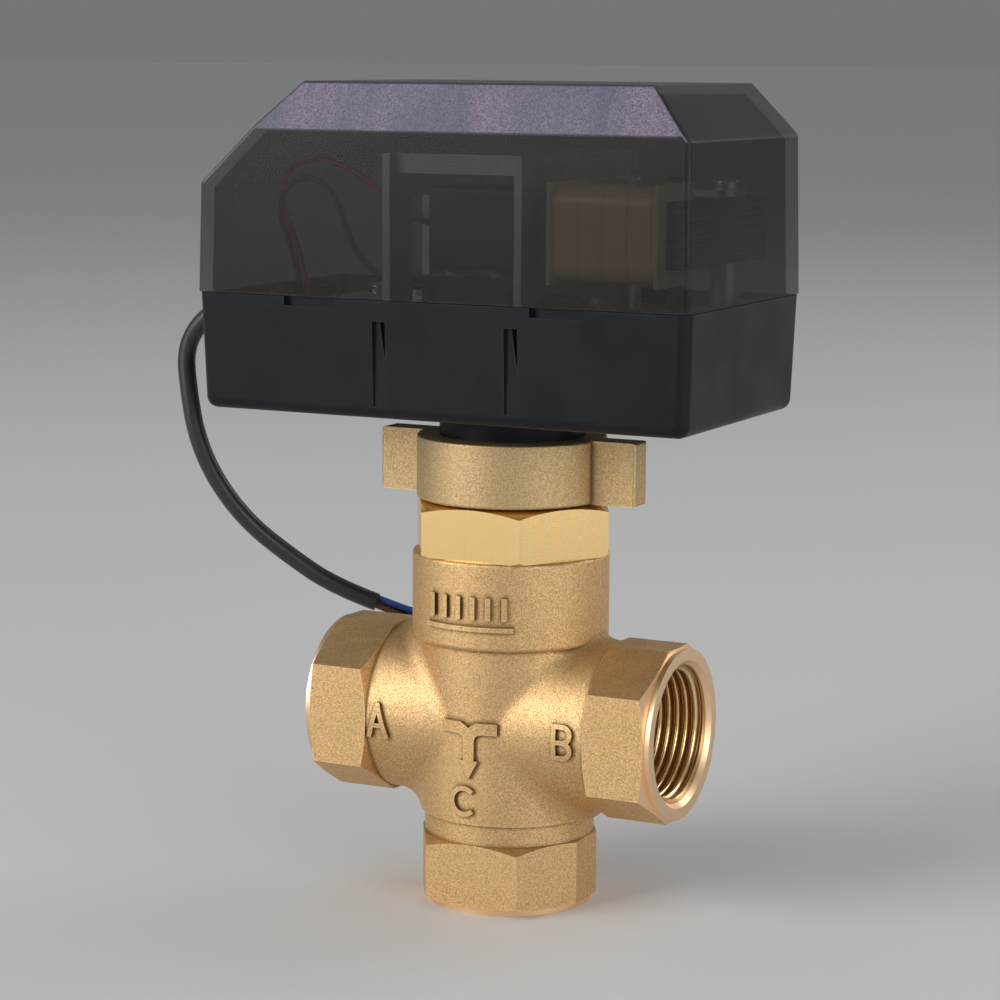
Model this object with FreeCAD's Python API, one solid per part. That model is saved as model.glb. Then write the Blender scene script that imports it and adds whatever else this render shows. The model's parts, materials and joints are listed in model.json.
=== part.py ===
"""Motorised three way ball valve with 3/4 inch female ports.

Frame: millimetres, +Z up along the valve's stem axis, origin on that axis at the end face of
port C (the bottom port). +X points out of port B, -X out of port A, -Y is the front.
"""

import FreeCAD
import Part
import math
import os

V = FreeCAD.Vector
X_AXIS = V(1, 0, 0)
Y_AXIS = V(0, 1, 0)
Z_AXIS = V(0, 0, 1)

# ---- clearances ---------------------------------------------------------------------------
RUNNING = 0.05          # radial, a shaft in its bearing
FIT_GAP = 0.10          # radial, pieces that are screwed or pushed together
SOFT_GAP = 0.30         # between a moving piece and what it passes
FAR = 200.0             # reach of a cutting tool, well past the whole part

# ---- cast body ----------------------------------------------------------------------------
THREAD_MAJOR_R = 13.22  # G 3/4 female thread, drawn as its plain major cylinder
THREAD_LENGTH = 14.0
MOUTH_R = 14.1          # countersink at each port's mouth
HEX_AF = 33.4           # spanner flats on each port
HEX_LENGTH = 12.4
HEX_END_R = 16.33       # outer radius of the turned land at a port's mouth
HEX_LAND = 1.05         # length of that land
HEX_CHAMFER = 1.9       # from the mouth to the end of the turned chamfer, at the corners
HEX_HALF_WIDTH = 16.65  # the two corners at the moulds' joint are cut flat at this distance
SHOULDER_RUN = 1.2      # length of the hexagon's shoulder down to the barrel
PORT_ROOT = HEX_LENGTH + SHOULDER_RUN
BARREL_R = 16.5         # round part of each port
PORT_Z = 35.8           # height of the side ports' axis
FACE_TO_AXIS = 36.46    # end face of port A or B from the stem axis
BODY_R = 17.3           # upright barrel in the middle
BODY_FOOT_Z = 17.75     # where it meets port C's barrel
CROSSING_FILLET = 5.0
NECK_R = 19.0
NECK_LEDGE_Z = 51.8
NECK_TOP_Z = 68.6
NECK_ROUND = 0.7
RELIEF = 0.7            # how far the cast marks stand out
STROKE_W = 0.9          # width of a cast stroke
LETTER_HEIGHT = 6.0
LETTER_A_X = -20.2
LETTER_B_X = 19.0
LETTER_C_AT = (-1.0, 22.4)
HALF_RING_RIGHT = (-90, 90)     # right half of a ring, seen from the front
OPEN_RING_RIGHT = (45, 315)     # a ring open to the right
FLOW_W = 2.2                    # width of the flow sign's strokes
FLOW_TOP_Z = 36.7
FLOW_ARM_X = (2.6, 4.5)         # where an arm turns down, and its outer end
ARROW_Z = (26.8, 30.4)
ARROW_HALF_WIDTH = 1.9
TALLY_LINE_Z = 56.2
TALLY_LINE_HALF = 8.6
TALLY_BAR_Z = (58.4, 61.8)
TALLY_BARS = 6
TALLY_PITCH = 3.0

# ---- ball, seats and stem -----------------------------------------------------------------
BALL_R = 13.5
BALL_BORE_R = 8.0
CAVITY_R = BALL_R + 0.7
CAVITY_FLOOR_GAP = 1.0
SEAT_R = 11.8
SEAT_BORE_R = 8.7
SEAT_INNER_X = BALL_R - 4.9     # how far each seat laps over the ball
SEAT_OUTER_X = BALL_R + 0.9
RETAINER_LENGTH = 5.0
WATERWAY_R = 9.5        # port C's waterway above its thread
SLOT_WIDTH = 5.0
SLOT_FLOOR = 9.5        # height of the ball's drive slot above its centre
TANG_LENGTH = 3.6
STEM_R = 4.0
STEM_FLANGE_R = 7.5
STEM_FLANGE_Z = 50.2
STEM_FLANGE_T = 3.3
THRUST_T = 1.0
STEM_TOP_Z = 94.0
STEM_FLAT = 2.9         # half the distance across the flats of the stem's square end
RING_GROOVE_R = STEM_R - 1.3
RING_THICK = 0.65       # section radius of the stem's rings
STEM_RING_ZS = (60.0, 64.0)

# ---- bonnet and collar --------------------------------------------------------------------
BONNET_AF = 35.5
BONNET_HEX_H = 9.9
BONNET_CHAMFER = 1.3
BONNET_PLUG_R = 14.95
BONNET_RING_Z = 66.4
BONNET_RING_R = 0.75
SPIGOT_R = 9.0
SPIGOT_H = 4.9
COLLAR_R = 18.24
COLLAR_GAP = 0.3        # dark line between the bonnet's hexagon and the collar
COLLAR_H = 12.1
COLLAR_FLOOR_T = 5.5
EAR_REACH = 27.0
EAR_THICK = 5.6
BOSS_R = 13.9
BASE_SCREW_R = 1.5
BASE_SCREW_HEAD = (2.75, 2.2)   # every screw head: its radius and height

# ---- actuator casing ----------------------------------------------------------------------
BOX_LEFT = -53.3
BOX_RIGHT = 47.7
BOX_HALF_DEPTH = 27.5
BOX_BOTTOM_Z = 95.6
PARTING_Z = 117.7
COVER_TOP_Z = 157.6
WALL = 2.1
FLOOR_T = 2.2
BASE_DRAFT = 0.7        # how much narrower the base is at its bottom, each side
COVER_DRAFT = 0.8       # how much narrower the cover is at its top, each side
BASE_ROUND = 2.2
COVER_ROUND = 1.0
FRONT_CHAMFER = (147.2, 4.1)    # start height and run in Y, front and back
RIGHT_CHAMFER = (147.2, 8.9)    # start height and run in X
LEFT_CHAMFER = (138.1, 20.9)    # start height and run in X
PARTING_GAP = 0.15
NOTCH_XS = ((-34.35, -23.4), (16.6, 27.6))
NOTCH_H = 1.7
NOTCH_DEPTH = 1.4
SLOT_LEFT_XS = (-15.6, 11.5)
WINDOW_W = 2.7
WINDOW_Z = (98.0, 113.8)
TAB_W = 9.0
TAB_T = 1.4
TAB_DROP = 6.0

# ---- gear train ---------------------------------------------------------------------------
PLATE_T = 1.2
LOWER_PLATE_Z = 100.8
GEAR_SPACE = 12.0
PLATE_LEFT = -42.0
PLATE_RIGHT = 44.4
PLATE_HALF_DEPTH = 20.6
PILLAR_XS = (-38.0, 40.6)
PILLAR_Y = 17.0
PILLAR_R = 2.6
PLATE_SCREW_R = 1.25
PLATE_SCREW_HEAD = (2.4, 1.8)
MODULE_1 = 0.5          # rotor pinion and first wheel
MODULE_2 = 0.6          # first pinion and second wheel
MODULE_3 = 0.8          # second pinion and output wheel
ROTOR_TEETH = 10
FIRST_WHEEL_TEETH = 36
FIRST_PINION_TEETH = 12
SECOND_WHEEL_TEETH = 42
SECOND_PINION_TEETH = 12
OUTPUT_TEETH = 48
WHEEL_TIP = 0.62        # addendum of a wheel, in modules, low enough not to dig into its pinion
PINION_TIP = 0.9
ROOT_DEPTH = 1.15       # dedendum, in modules
PRESSURE_ANGLE = 20
CENTRE_SLACK = 0.06     # added to each centre distance
BACKLASH = 0.05         # taken off each flank
PIN_R = 1.5
GEAR_HUB_GAP = 0.4
SECOND_GEAR_ANGLE = -23.6   # direction from the output shaft to the second gear, degrees
ROTOR_X = 28.5
ROTOR_Y = 11.5
LIGHTENING_R = 2.6       # round holes in the output wheel
LIGHTENING_PITCH_R = 12.4
COUPLING_R = 6.5
COUPLING_FLAT = 4.6     # half the distance across the flats that carry the output wheel
COUPLING_FOOT_Z = 86.0
JOURNAL_R = 4.0

# ---- motor --------------------------------------------------------------------------------
STACK_Z = 124.8
STACK_H = 12.0
STACK_HALF_WIDTH = 14.5
STACK_BLOCK_HALF = 9.8
STACK_ARM_W = 3.5
SCORE_COUNT = 7         # grooves between the stack's sheets
SCORE_SIZE = 0.25       # their width and depth
CORE_Y = (-18.6, -10.4)
ROTOR_R = 6.0
ROTOR_HOLE_R = 6.5
SHAFT_R = 1.5
BRACKET_T = 1.2
SPACER_R = 2.8
BUSH_R = 2.6
BUSH_FLANGE = (3.6, 1.2)        # radius and thickness
STRIP_HALF_DEPTH = 4.4
MOTOR_SCREW_R = 1.35
MOTOR_SCREW_HEAD = (2.5, 2.0)
MOTOR_SCREW_PITCH = 20.0
COIL_Y = (-22.6, -6.4)
COIL_Z = (121.6, 140.0)
BOBBIN_WALL = 0.8
CHEEK_T = 0.7

# ---- steel frame, switches and capacitor --------------------------------------------------
LEG_XS = (-15.0, 12.0)  # left face of each leg
LEG_T = 1.5
FRAME_HALF_DEPTH = 24.4
FRAME_FOOT_HALF = 20.0
FRAME_TOP_Z = 144.6
FRAME_TAB_W = 3.0
FRAME_LIP = 3.6
FRAME_SLOT = ((-15.4, -8.6), 136.4)     # opening in the left leg for the leads: Y span and top
FRAME_SCREW_R = 1.0
FRAME_SCREW_HEAD = (2.0, 1.5)
SWITCH_SIZE = (20.0, 6.6, 6.8)
SWITCH_NEAR = 11.6      # near face of each switch from the output axis
SWITCH_HOLE_PITCH = 9.6
SWITCH_SCREW_R = 0.8
SWITCH_SCREW_HEAD = (1.5, 1.1)
CAM_LOW_R = 7.0
CAM_RISE = 1.0
CAM_Z = 116.4
CAM_T = 2.6
PLUNGER_R = 0.9
CAPACITOR = ((-7.2, 12.0), (-21.6, -7.6), (123.7, 138.8))

# ---- cables -------------------------------------------------------------------------------
CABLE_R = 1.8
WIRE_R = 0.65
WIRE_RING_R = 0.9       # the wires' centres lie on this circle inside the jacket
CABLE_EXIT_Y = -2.0
CABLE_EXIT_Z = 113.0
GROMMET_OUT = 5.5
GROMMET_R = (4.1, 2.7)
CABLE_INSIDE_X = -48.6
CABLE_START_X = -55.9   # inside the grommet, where the free length begins
CABLE_ROUTE = (
    (-62.7, -2.0, 113.0),
    (-68.7, -2.2, 109.5),
    (-72.2, -2.4, 103.5),
    (-71.1, -2.9, 95.1),
    (-69.3, -3.0, 86.1),
    (-66.3, -0.7, 77.1),
    (-60.5, 2.2, 68.5),
    (-53.6, 6.5, 61.8),
    (-45.5, 10.8, 55.4),
    (-37.2, 14.0, 52.2),
)
WIRE_ROUTES = {
    "wire_blue": ((-31.2, 18.2, 50.2), (-25.2, 21.6, 49.0), (-18.8, 24.0, 48.6), (-12.6, 25.2, 47.0),
                  (-6.8, 25.4, 44.4)),
    "wire_black": ((-31.0, 19.1, 48.6), (-25.2, 23.2, 46.4), (-19.2, 26.2, 44.6), (-13.4, 28.0, 42.0),
                   (-8.4, 28.8, 38.6)),
    "wire_brown": ((-31.6, 16.9, 48.5), (-25.8, 20.6, 46.6), (-19.8, 23.0, 45.2), (-14.0, 24.0, 42.8),
                   (-8.9, 24.2, 39.6)),
}
LEAD_R = 0.6
LEAD_ROUTES = {
    "lead_black": ((-48.6, -2.7, 113.0), (-46.0, -2.7, 113.0), (-44.2, -3.6, 115.8), (-44.6, -6.4, 124.4),
                   (-46.4, -9.4, 133.0), (-42.6, -10.2, 138.6), (-36.6, -10.8, 139.2), (-31.6, -11.0, 134.4),
                   (-29.4, -11.2, 127.6), (-25.0, -11.6, 122.4), (-18.2, -12.0, 119.2),
                   (-10.2, -13.4, 119.4)),
    "lead_red": ((-48.6, -1.3, 113.0), (-45.8, -1.3, 113.0), (-43.9, -1.6, 116.2), (-45.0, -4.0, 125.4),
                 (-46.6, -7.6, 134.4), (-44.2, -8.8, 140.8), (-38.2, -9.6, 142.8), (-31.4, -10.4, 141.8),
                 (-24.8, -11.2, 138.6), (-18.6, -12.0, 133.4), (-7.7, -13.2, 130.4)),
}

# ---- places that follow from the sizes above -----------------------------------------------
BONNET_FOOT_Z = STEM_FLANGE_Z + STEM_FLANGE_T + THRUST_T + 0.2
BONNET_HEX_TOP_Z = NECK_TOP_Z + BONNET_HEX_H
SPIGOT_TOP_Z = BONNET_HEX_TOP_Z + SPIGOT_H
COLLAR_Z = BONNET_HEX_TOP_Z + COLLAR_GAP
COLLAR_TOP_Z = COLLAR_Z + COLLAR_H
SOCKET_FLOOR_Z = COLLAR_Z + COLLAR_FLOOR_T
BASE_FLOOR_Z = BOX_BOTTOM_Z + FLOOR_T
GEAR_Z = LOWER_PLATE_Z + PLATE_T
UPPER_PLATE_Z = GEAR_Z + GEAR_SPACE
DECK_Z = UPPER_PLATE_Z + PLATE_T
OUTPUT_Z = (GEAR_Z + 1.0, GEAR_Z + 4.0)
SECOND_WHEEL_Z = (GEAR_Z + 5.0, GEAR_Z + 7.0)
FIRST_WHEEL_Z = (GEAR_Z + 8.0, GEAR_Z + 10.0)
STACK_TOP_Z = STACK_Z + STACK_H
BOX_CENTRE_X = (BOX_LEFT + BOX_RIGHT) / 2


def cylinder(radius, low, high, x=0.0, y=0.0):
    """Upright cylinder between two heights."""
    return Part.makeCylinder(radius, high - low, V(x, y, low))


def box(x_span, y_span, z_span):
    """Axis-aligned box from its three spans."""
    return Part.makeBox(x_span[1] - x_span[0], y_span[1] - y_span[0], z_span[1] - z_span[0],
                        V(x_span[0], y_span[0], z_span[0]))


def joined(shapes):
    """All the shapes fused, with split faces merged."""
    shapes = list(shapes)
    return shapes[0].multiFuse(shapes[1:]).removeSplitter() if len(shapes) > 1 else shapes[0]


def without(shape, tools):
    """The shape with every tool cut away."""
    for tool in tools:
        shape = shape.cut(tool)
    return shape


def prism(points, offset, extrusion):
    """A closed polygon through the points, moved by offset and extruded."""
    corners = [V(*point) + offset for point in points]
    face = Part.Face(Part.makePolygon(corners + corners[:1]))
    return face.extrude(extrusion)


def revolved(profile):
    """Solid turned about Z from (radius, height) points."""
    corners = [V(radius, 0, height) for radius, height in profile]
    face = Part.Face(Part.makePolygon(corners + corners[:1]))
    return face.revolve(V(0, 0, 0), Z_AXIS, 360)


def hexagon(across_flats, low, high):
    """Hexagonal bar about Z with two flats facing front and back."""
    corner = across_flats / math.sqrt(3)
    points = [(corner * math.cos(math.radians(60 * i)), corner * math.sin(math.radians(60 * i)), low)
              for i in range(6)]
    return prism(points, V(0, 0, 0), V(0, 0, high - low))


def torus(ring_r, section_r, height):
    """O-ring about Z."""
    return Part.makeTorus(ring_r, section_r, V(0, 0, height), Z_AXIS)


def rounded(shape, radius, chosen):
    """Fillet of every edge that the chosen test accepts."""
    return shape.makeFillet(radius, [edge for edge in shape.Edges if chosen(edge)])


def pan_head_screw(x, y, tip, seat, shank_r, head_r, head_h):
    """Screw that points down, with a domed head on its seat and a cross slot."""
    head = cylinder(head_r, seat, seat + head_h, x, y)
    head = rounded(head, head_h * 0.35, lambda edge: edge.BoundBox.ZMin > seat + head_h * 0.9)
    slot_w = head_r * 0.3
    slot_l = head_r * 1.2
    slots = [box((x - a / 2, x + a / 2), (y - b / 2, y + b / 2), (seat + head_h * 0.45, seat + head_h + 1))
             for a, b in ((slot_w, slot_l), (slot_l, slot_w))]
    return without(joined([head, cylinder(shank_r, tip, seat, x, y)]), slots)


# ---- cast body ----------------------------------------------------------------------------

def port_outside():
    """Hexagonal end of a port about Z, from its mouth at height 0 to where its barrel starts."""
    corner = HEX_AF / math.sqrt(3)
    envelope = revolved([(0, 0), (HEX_END_R, 0), (HEX_END_R, -HEX_LAND), (corner, -HEX_CHAMFER),
                         (corner, -HEX_LENGTH), (BARREL_R, -PORT_ROOT), (0, -PORT_ROOT)])
    blank = box((-HEX_HALF_WIDTH, HEX_HALF_WIDTH), (-corner, corner), (-PORT_ROOT, 0))
    return envelope.common(hexagon(HEX_AF, -PORT_ROOT, 0).common(blank))


def port_bore(depth):
    """Mouth, threaded length and waterway of a side port, cut from height 0 down."""
    mouth = Part.makeCone(THREAD_MAJOR_R, MOUTH_R + 0.5, MOUTH_R + 0.5 - THREAD_MAJOR_R,
                          V(0, 0, THREAD_MAJOR_R - MOUTH_R))
    return joined([mouth, cylinder(THREAD_MAJOR_R, -THREAD_LENGTH, 0.2), cylinder(SEAT_R, -depth, 0)])


def at_port(shape, name):
    """Moves a shape made about Z, mouth at height 0, to one of the ports."""
    places = {"A": (V(-FACE_TO_AXIS, 0, PORT_Z), -90), "B": (V(FACE_TO_AXIS, 0, PORT_Z), 90),
              "C": (V(0, 0, 0), 180)}
    base, turn = places[name]
    moved = shape.copy()
    moved.Placement = FreeCAD.Placement(base, FreeCAD.Rotation(Y_AXIS, turn))
    return moved


def bar_stroke(start, end, width):
    """Straight stroke of a cast mark in the XZ plane, extruded from the front to the middle."""
    (x0, z0), (x1, z1) = start, end
    length = math.hypot(x1 - x0, z1 - z0)
    side = V(-(z1 - z0), 0, x1 - x0) * (width / 2 / length)
    tip = V(x1 - x0, 0, z1 - z0) * (width / 2 / length)
    first = V(x0, 0, z0) - tip
    last = V(x1, 0, z1) + tip
    points = [first + side, last + side, last - side, first - side]
    return prism([tuple(point) for point in points], V(0, -2 * NECK_R, 0), V(0, 2 * NECK_R, 0))


def arc_stroke(centre, radius, start, end, width):
    """Curved stroke of a cast mark: part of a ring in the XZ plane, angles in degrees."""
    origin = V(0, 0, 0)
    outer = Part.makeCylinder(radius + width / 2, 2 * NECK_R, origin, Z_AXIS, end - start)
    ring = outer.cut(Part.makeCylinder(radius - width / 2, 2 * NECK_R))
    ring.rotate(origin, Z_AXIS, start)
    ring.rotate(origin, X_AXIS, 90)
    ring.translate(V(centre[0], 0, centre[1]))
    return ring


def letter_a(x, z, height):
    """Strokes of the port letter A about its centre."""
    half = height * 0.30
    low, bar = z - height / 2, z - height * 0.16
    return [bar_stroke((x - half, low), (x, z + height / 2), STROKE_W),
            bar_stroke((x + half, low), (x, z + height / 2), STROKE_W),
            bar_stroke((x - half * 0.6, bar), (x + half * 0.6, bar), STROKE_W)]


def letter_b(x, z, height):
    """Strokes of the port letter B about its centre."""
    bowl = height / 4
    back = x - height * 0.28
    front = x + height * 0.02
    strokes = [bar_stroke((back, z - height / 2), (back, z + height / 2), STROKE_W)]
    for level in (z - height / 2, z, z + height / 2):
        strokes.append(bar_stroke((back, level), (front, level), STROKE_W))
    for level in (z - bowl, z + bowl):
        strokes.append(arc_stroke((front, level), bowl, *HALF_RING_RIGHT, STROKE_W))
    return strokes


def letter_c(x, z, height):
    """Open ring of the port letter C about its centre."""
    return [arc_stroke((x, z), height * 0.42, *OPEN_RING_RIGHT, STROKE_W)]


def flow_mark():
    """The sign for a valve that joins two ways into one: two curved arms and an arrow down."""
    turn_x, end_x = FLOW_ARM_X
    tip_z, root_z = ARROW_Z
    strokes = [bar_stroke((0, FLOW_TOP_Z - turn_x), (0, root_z), FLOW_W)]
    for side in (-1, 1):
        turn = (90, 180) if side > 0 else (0, 90)
        strokes.append(arc_stroke((side * turn_x, FLOW_TOP_Z - turn_x), turn_x, *turn, FLOW_W))
        strokes.append(bar_stroke((side * turn_x, FLOW_TOP_Z), (side * end_x, FLOW_TOP_Z), FLOW_W))
    head = prism([(-ARROW_HALF_WIDTH, 0, root_z), (ARROW_HALF_WIDTH, 0, root_z), (0, 0, tip_z)],
                 V(0, -2 * NECK_R, 0), V(0, 2 * NECK_R, 0))
    return strokes + [head]


def tally_mark():
    """Plain row of raised bars over an underline, in place of lettering on the neck."""
    strokes = [bar_stroke((-TALLY_LINE_HALF, TALLY_LINE_Z), (TALLY_LINE_HALF, TALLY_LINE_Z), STROKE_W)]
    low, high = TALLY_BAR_Z
    for i in range(TALLY_BARS):
        x = TALLY_PITCH * (i - (TALLY_BARS - 1) / 2)
        strokes.append(bar_stroke((x, low), (x, high), STROKE_W))
    return strokes


def crossed_barrels():
    """Upright and side barrels with rounded crossings, trimmed between port C and the neck."""
    reach = BARREL_R + 3 * CROSSING_FILLET
    upright = cylinder(BODY_R, PORT_Z - reach, PORT_Z + reach)
    half = FACE_TO_AXIS - PORT_ROOT
    cross = Part.makeCylinder(BARREL_R, 2 * half, V(-half, 0, PORT_Z), X_AXIS)
    core = rounded(upright.fuse(cross), CROSSING_FILLET, is_crossing_edge)
    return without(core, [cylinder(2 * reach, PORT_Z - 2 * reach, BODY_FOOT_Z),
                          cylinder(2 * reach, (NECK_LEDGE_Z + NECK_TOP_Z) / 2, PORT_Z + 2 * reach)])


def cast_marks():
    """Port letters, flow sign and tally, each raised from the round wall that it stands on."""
    on_side = letter_a(LETTER_A_X, PORT_Z, LETTER_HEIGHT) + letter_b(LETTER_B_X, PORT_Z, LETTER_HEIGHT)
    on_body = letter_c(*LETTER_C_AT, LETTER_HEIGHT) + flow_mark()
    side_skin = Part.makeCylinder(BARREL_R + RELIEF, 2 * FACE_TO_AXIS, V(-FACE_TO_AXIS, 0, PORT_Z), X_AXIS)
    groups = [(on_side, side_skin), (on_body, cylinder(BODY_R + RELIEF, 0, NECK_LEDGE_Z)),
              (tally_mark(), cylinder(NECK_R + RELIEF, 0, NECK_TOP_Z))]
    return [stroke.common(skin) for strokes, skin in groups for stroke in strokes]


def make_valve_body():
    """One brass casting: three ports, the upright barrel, the neck and the raised marks."""
    neck = cylinder(NECK_R, NECK_LEDGE_Z, NECK_TOP_Z)
    neck = rounded(neck, NECK_ROUND, lambda edge: edge.BoundBox.ZLength < 0.01)
    ports = [at_port(port_outside(), name) for name in ("A", "B", "C")]
    lower_barrel = cylinder(BARREL_R, PORT_ROOT, BODY_FOOT_Z)
    outside = joined([crossed_barrels(), neck, lower_barrel] + ports)
    outside = joined([outside] + cast_marks())
    cavity = cylinder(CAVITY_R, PORT_Z - BALL_R - CAVITY_FLOOR_GAP, NECK_TOP_Z + 1)
    bonnet_bore = cylinder(BONNET_PLUG_R + FIT_GAP, BONNET_FOOT_Z - FIT_GAP, NECK_TOP_Z + 1)
    side_bore = port_bore(FACE_TO_AXIS - SEAT_INNER_X)
    bottom_bore = joined([port_bore(THREAD_LENGTH), cylinder(WATERWAY_R, -PORT_Z, 0)])
    return without(outside, [cavity, bonnet_bore, at_port(side_bore, "A"), at_port(side_bore, "B"),
                             at_port(bottom_bore, "C")])


def is_crossing_edge(edge):
    """True for the two closed curves where the side barrels meet the upright barrel."""
    reach = edge.BoundBox
    near = max(abs(reach.XMin), abs(reach.XMax)) < BODY_R + 0.1
    return near and reach.ZLength > 1 and reach.ZMax < PORT_Z + BARREL_R + 0.1 and reach.YLength > 1


# ---- valve internals ----------------------------------------------------------------------

def make_seat(side):
    """Seat ring with a spherical face, between the ball and its retainer."""
    thickness = SEAT_OUTER_X - SEAT_INNER_X
    ring = Part.makeCylinder(SEAT_R - RUNNING, thickness, V(SEAT_INNER_X, 0, PORT_Z), X_AXIS)
    hole = Part.makeCylinder(SEAT_BORE_R, SEAT_OUTER_X, V(0, 0, PORT_Z), X_AXIS)
    ball = Part.makeSphere(BALL_R + RUNNING, V(0, 0, PORT_Z))
    return facing(without(ring, [hole, ball]), side)


def facing(shape, side):
    """A shape made for port B's side, mirrored for port A's."""
    return shape if side > 0 else shape.mirror(V(0, 0, 0), X_AXIS)


def make_seat_retainers():
    """Two screwed rings that hold the seats in, each with four spanner notches."""
    start = SEAT_OUTER_X + FIT_GAP
    rings = []
    for side in (-1, 1):
        ring = Part.makeCylinder(SEAT_R - FIT_GAP, RETAINER_LENGTH, V(start, 0, PORT_Z), X_AXIS)
        hole = Part.makeCylinder(SEAT_BORE_R, RETAINER_LENGTH, V(start, 0, PORT_Z), X_AXIS)
        end = start + RETAINER_LENGTH
        notches = [box((end - 1.6, end + 1), (-SEAT_R, SEAT_R), (PORT_Z - 1, PORT_Z + 1)),
                   box((end - 1.6, end + 1), (-1, 1), (PORT_Z - SEAT_R, PORT_Z + SEAT_R))]
        rings.append(facing(without(ring, [hole] + notches), side))
    return Part.makeCompound(rings)


def make_ball():
    """Ball with a bottom bore, two side bores a quarter turn apart and a drive slot on top."""
    centre = V(0, 0, PORT_Z)
    bores = [Part.makeCylinder(BALL_BORE_R, 2 * BALL_R, centre, direction)
             for direction in (-X_AXIS, -Y_AXIS, -Z_AXIS)]
    slot = box((-2 * BALL_R, 2 * BALL_R), (-SLOT_WIDTH / 2, SLOT_WIDTH / 2),
               (PORT_Z + SLOT_FLOOR, PORT_Z + 2 * BALL_R))
    return without(Part.makeSphere(BALL_R, centre), bores + [slot])


def make_stem():
    """Stem with its tang, blow-out flange, two ring grooves and a square top."""
    tang_z = PORT_Z + SLOT_FLOOR + FIT_GAP
    tang_half = SLOT_WIDTH / 2 - FIT_GAP
    tang = box((-STEM_FLANGE_R * 0.9, STEM_FLANGE_R * 0.9), (-tang_half, tang_half), (tang_z, STEM_FLANGE_Z))
    flange = cylinder(STEM_FLANGE_R, STEM_FLANGE_Z, STEM_FLANGE_Z + STEM_FLANGE_T)
    shaft = cylinder(STEM_R, STEM_FLANGE_Z, STEM_TOP_Z)
    square = box((-STEM_FLAT, STEM_FLAT), (-STEM_FLAT, STEM_FLAT), (COUPLING_FOOT_Z - 1, STEM_TOP_Z + 1))
    trim = cylinder(2 * STEM_R, COUPLING_FOOT_Z - 1, STEM_TOP_Z + 1).cut(square)
    grooves = [cylinder(2 * STEM_R, z - RING_THICK - FIT_GAP, z + RING_THICK + FIT_GAP).cut(
        cylinder(RING_GROOVE_R, z - 2, z + 2)) for z in STEM_RING_ZS]
    return without(joined([tang, flange, shaft]), [trim] + grooves)


def make_stem_o_rings():
    """Two rings that seal the stem in the bonnet."""
    return Part.makeCompound([torus(RING_GROOVE_R + RING_THICK + 0.01, RING_THICK, z) for z in STEM_RING_ZS])


def make_thrust_washer():
    """Low-friction washer between the stem's flange and the bonnet."""
    low = STEM_FLANGE_Z + STEM_FLANGE_T + FIT_GAP
    return cylinder(STEM_FLANGE_R, low, low + THRUST_T).cut(cylinder(STEM_R + FIT_GAP, low - 1, low + 3))


def make_bonnet():
    """Hexagonal bonnet: a plug screwed into the neck, and a spigot that carries the collar."""
    corner = BONNET_AF / math.sqrt(3)
    flat_r = BONNET_AF / 2
    turned = revolved([(0, NECK_TOP_Z), (corner - 0.8, NECK_TOP_Z), (corner, NECK_TOP_Z + 0.5),
                       (corner, BONNET_HEX_TOP_Z - BONNET_CHAMFER), (flat_r - 0.3, BONNET_HEX_TOP_Z),
                       (0, BONNET_HEX_TOP_Z)])
    head = hexagon(BONNET_AF, NECK_TOP_Z, BONNET_HEX_TOP_Z).common(turned)
    plug = cylinder(BONNET_PLUG_R, BONNET_FOOT_Z, NECK_TOP_Z)
    spigot = cylinder(SPIGOT_R, BONNET_HEX_TOP_Z, SPIGOT_TOP_Z)
    groove_r = BONNET_PLUG_R - 2 * BONNET_RING_R
    groove_half = BONNET_RING_R + FIT_GAP
    groove = cylinder(2 * BONNET_PLUG_R, BONNET_RING_Z - groove_half, BONNET_RING_Z + groove_half).cut(
        cylinder(groove_r, BONNET_RING_Z - 2, BONNET_RING_Z + 2))
    hollow = cylinder(CAVITY_R - 3.2, BONNET_FOOT_Z - 1, BONNET_FOOT_Z + 0.1)
    stem_bore = cylinder(STEM_R + RUNNING, BONNET_FOOT_Z - 1, SPIGOT_TOP_Z + 1)
    return without(joined([head, plug, spigot]), [groove, hollow, stem_bore])


def make_bonnet_o_ring():
    """Ring that seals the bonnet in the neck."""
    return torus(BONNET_PLUG_R - BONNET_RING_R + 0.03, BONNET_RING_R, BONNET_RING_Z)


def base_screw_places():
    """The two screws that hold the actuator on the collar, in front of and behind the stem."""
    pitch = SPIGOT_R + BASE_SCREW_R + SOFT_GAP + FIT_GAP
    return [(0, -pitch), (0, pitch)]


def make_mounting_collar():
    """Cast collar with a round socket for the actuator's boss and two ears."""
    round_part = cylinder(COLLAR_R, COLLAR_Z, COLLAR_TOP_Z)
    round_part = rounded(round_part, 0.5, lambda edge: edge.BoundBox.ZLength < 0.01)
    ears = box((-EAR_REACH, EAR_REACH), (-EAR_THICK / 2, EAR_THICK / 2), (COLLAR_Z, COLLAR_TOP_Z))
    ears = rounded(ears, 0.6, lambda edge: abs(edge.BoundBox.Center.x) > EAR_REACH - 0.1)
    tools = [cylinder(SPIGOT_R + FIT_GAP, COLLAR_Z - 1, COLLAR_TOP_Z),
             cylinder(BOSS_R + FIT_GAP, SOCKET_FLOOR_Z, COLLAR_TOP_Z + 1)]
    tools += [cylinder(BASE_SCREW_R + RUNNING, COLLAR_Z - 1, COLLAR_TOP_Z, x, y)
              for x, y in base_screw_places()]
    return without(joined([round_part, ears]), tools)


# ---- actuator casing ----------------------------------------------------------------------

def half_space_cut(shape, point, normal):
    """The part of a shape behind a plane, given by a point on it and its outward normal."""
    size = 2 * FAR
    tool = Part.makeBox(size, size, size, V(-FAR, -FAR, 0))
    tool.Placement = FreeCAD.Placement(point, FreeCAD.Rotation(Z_AXIS, normal))
    return shape.cut(tool)


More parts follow.
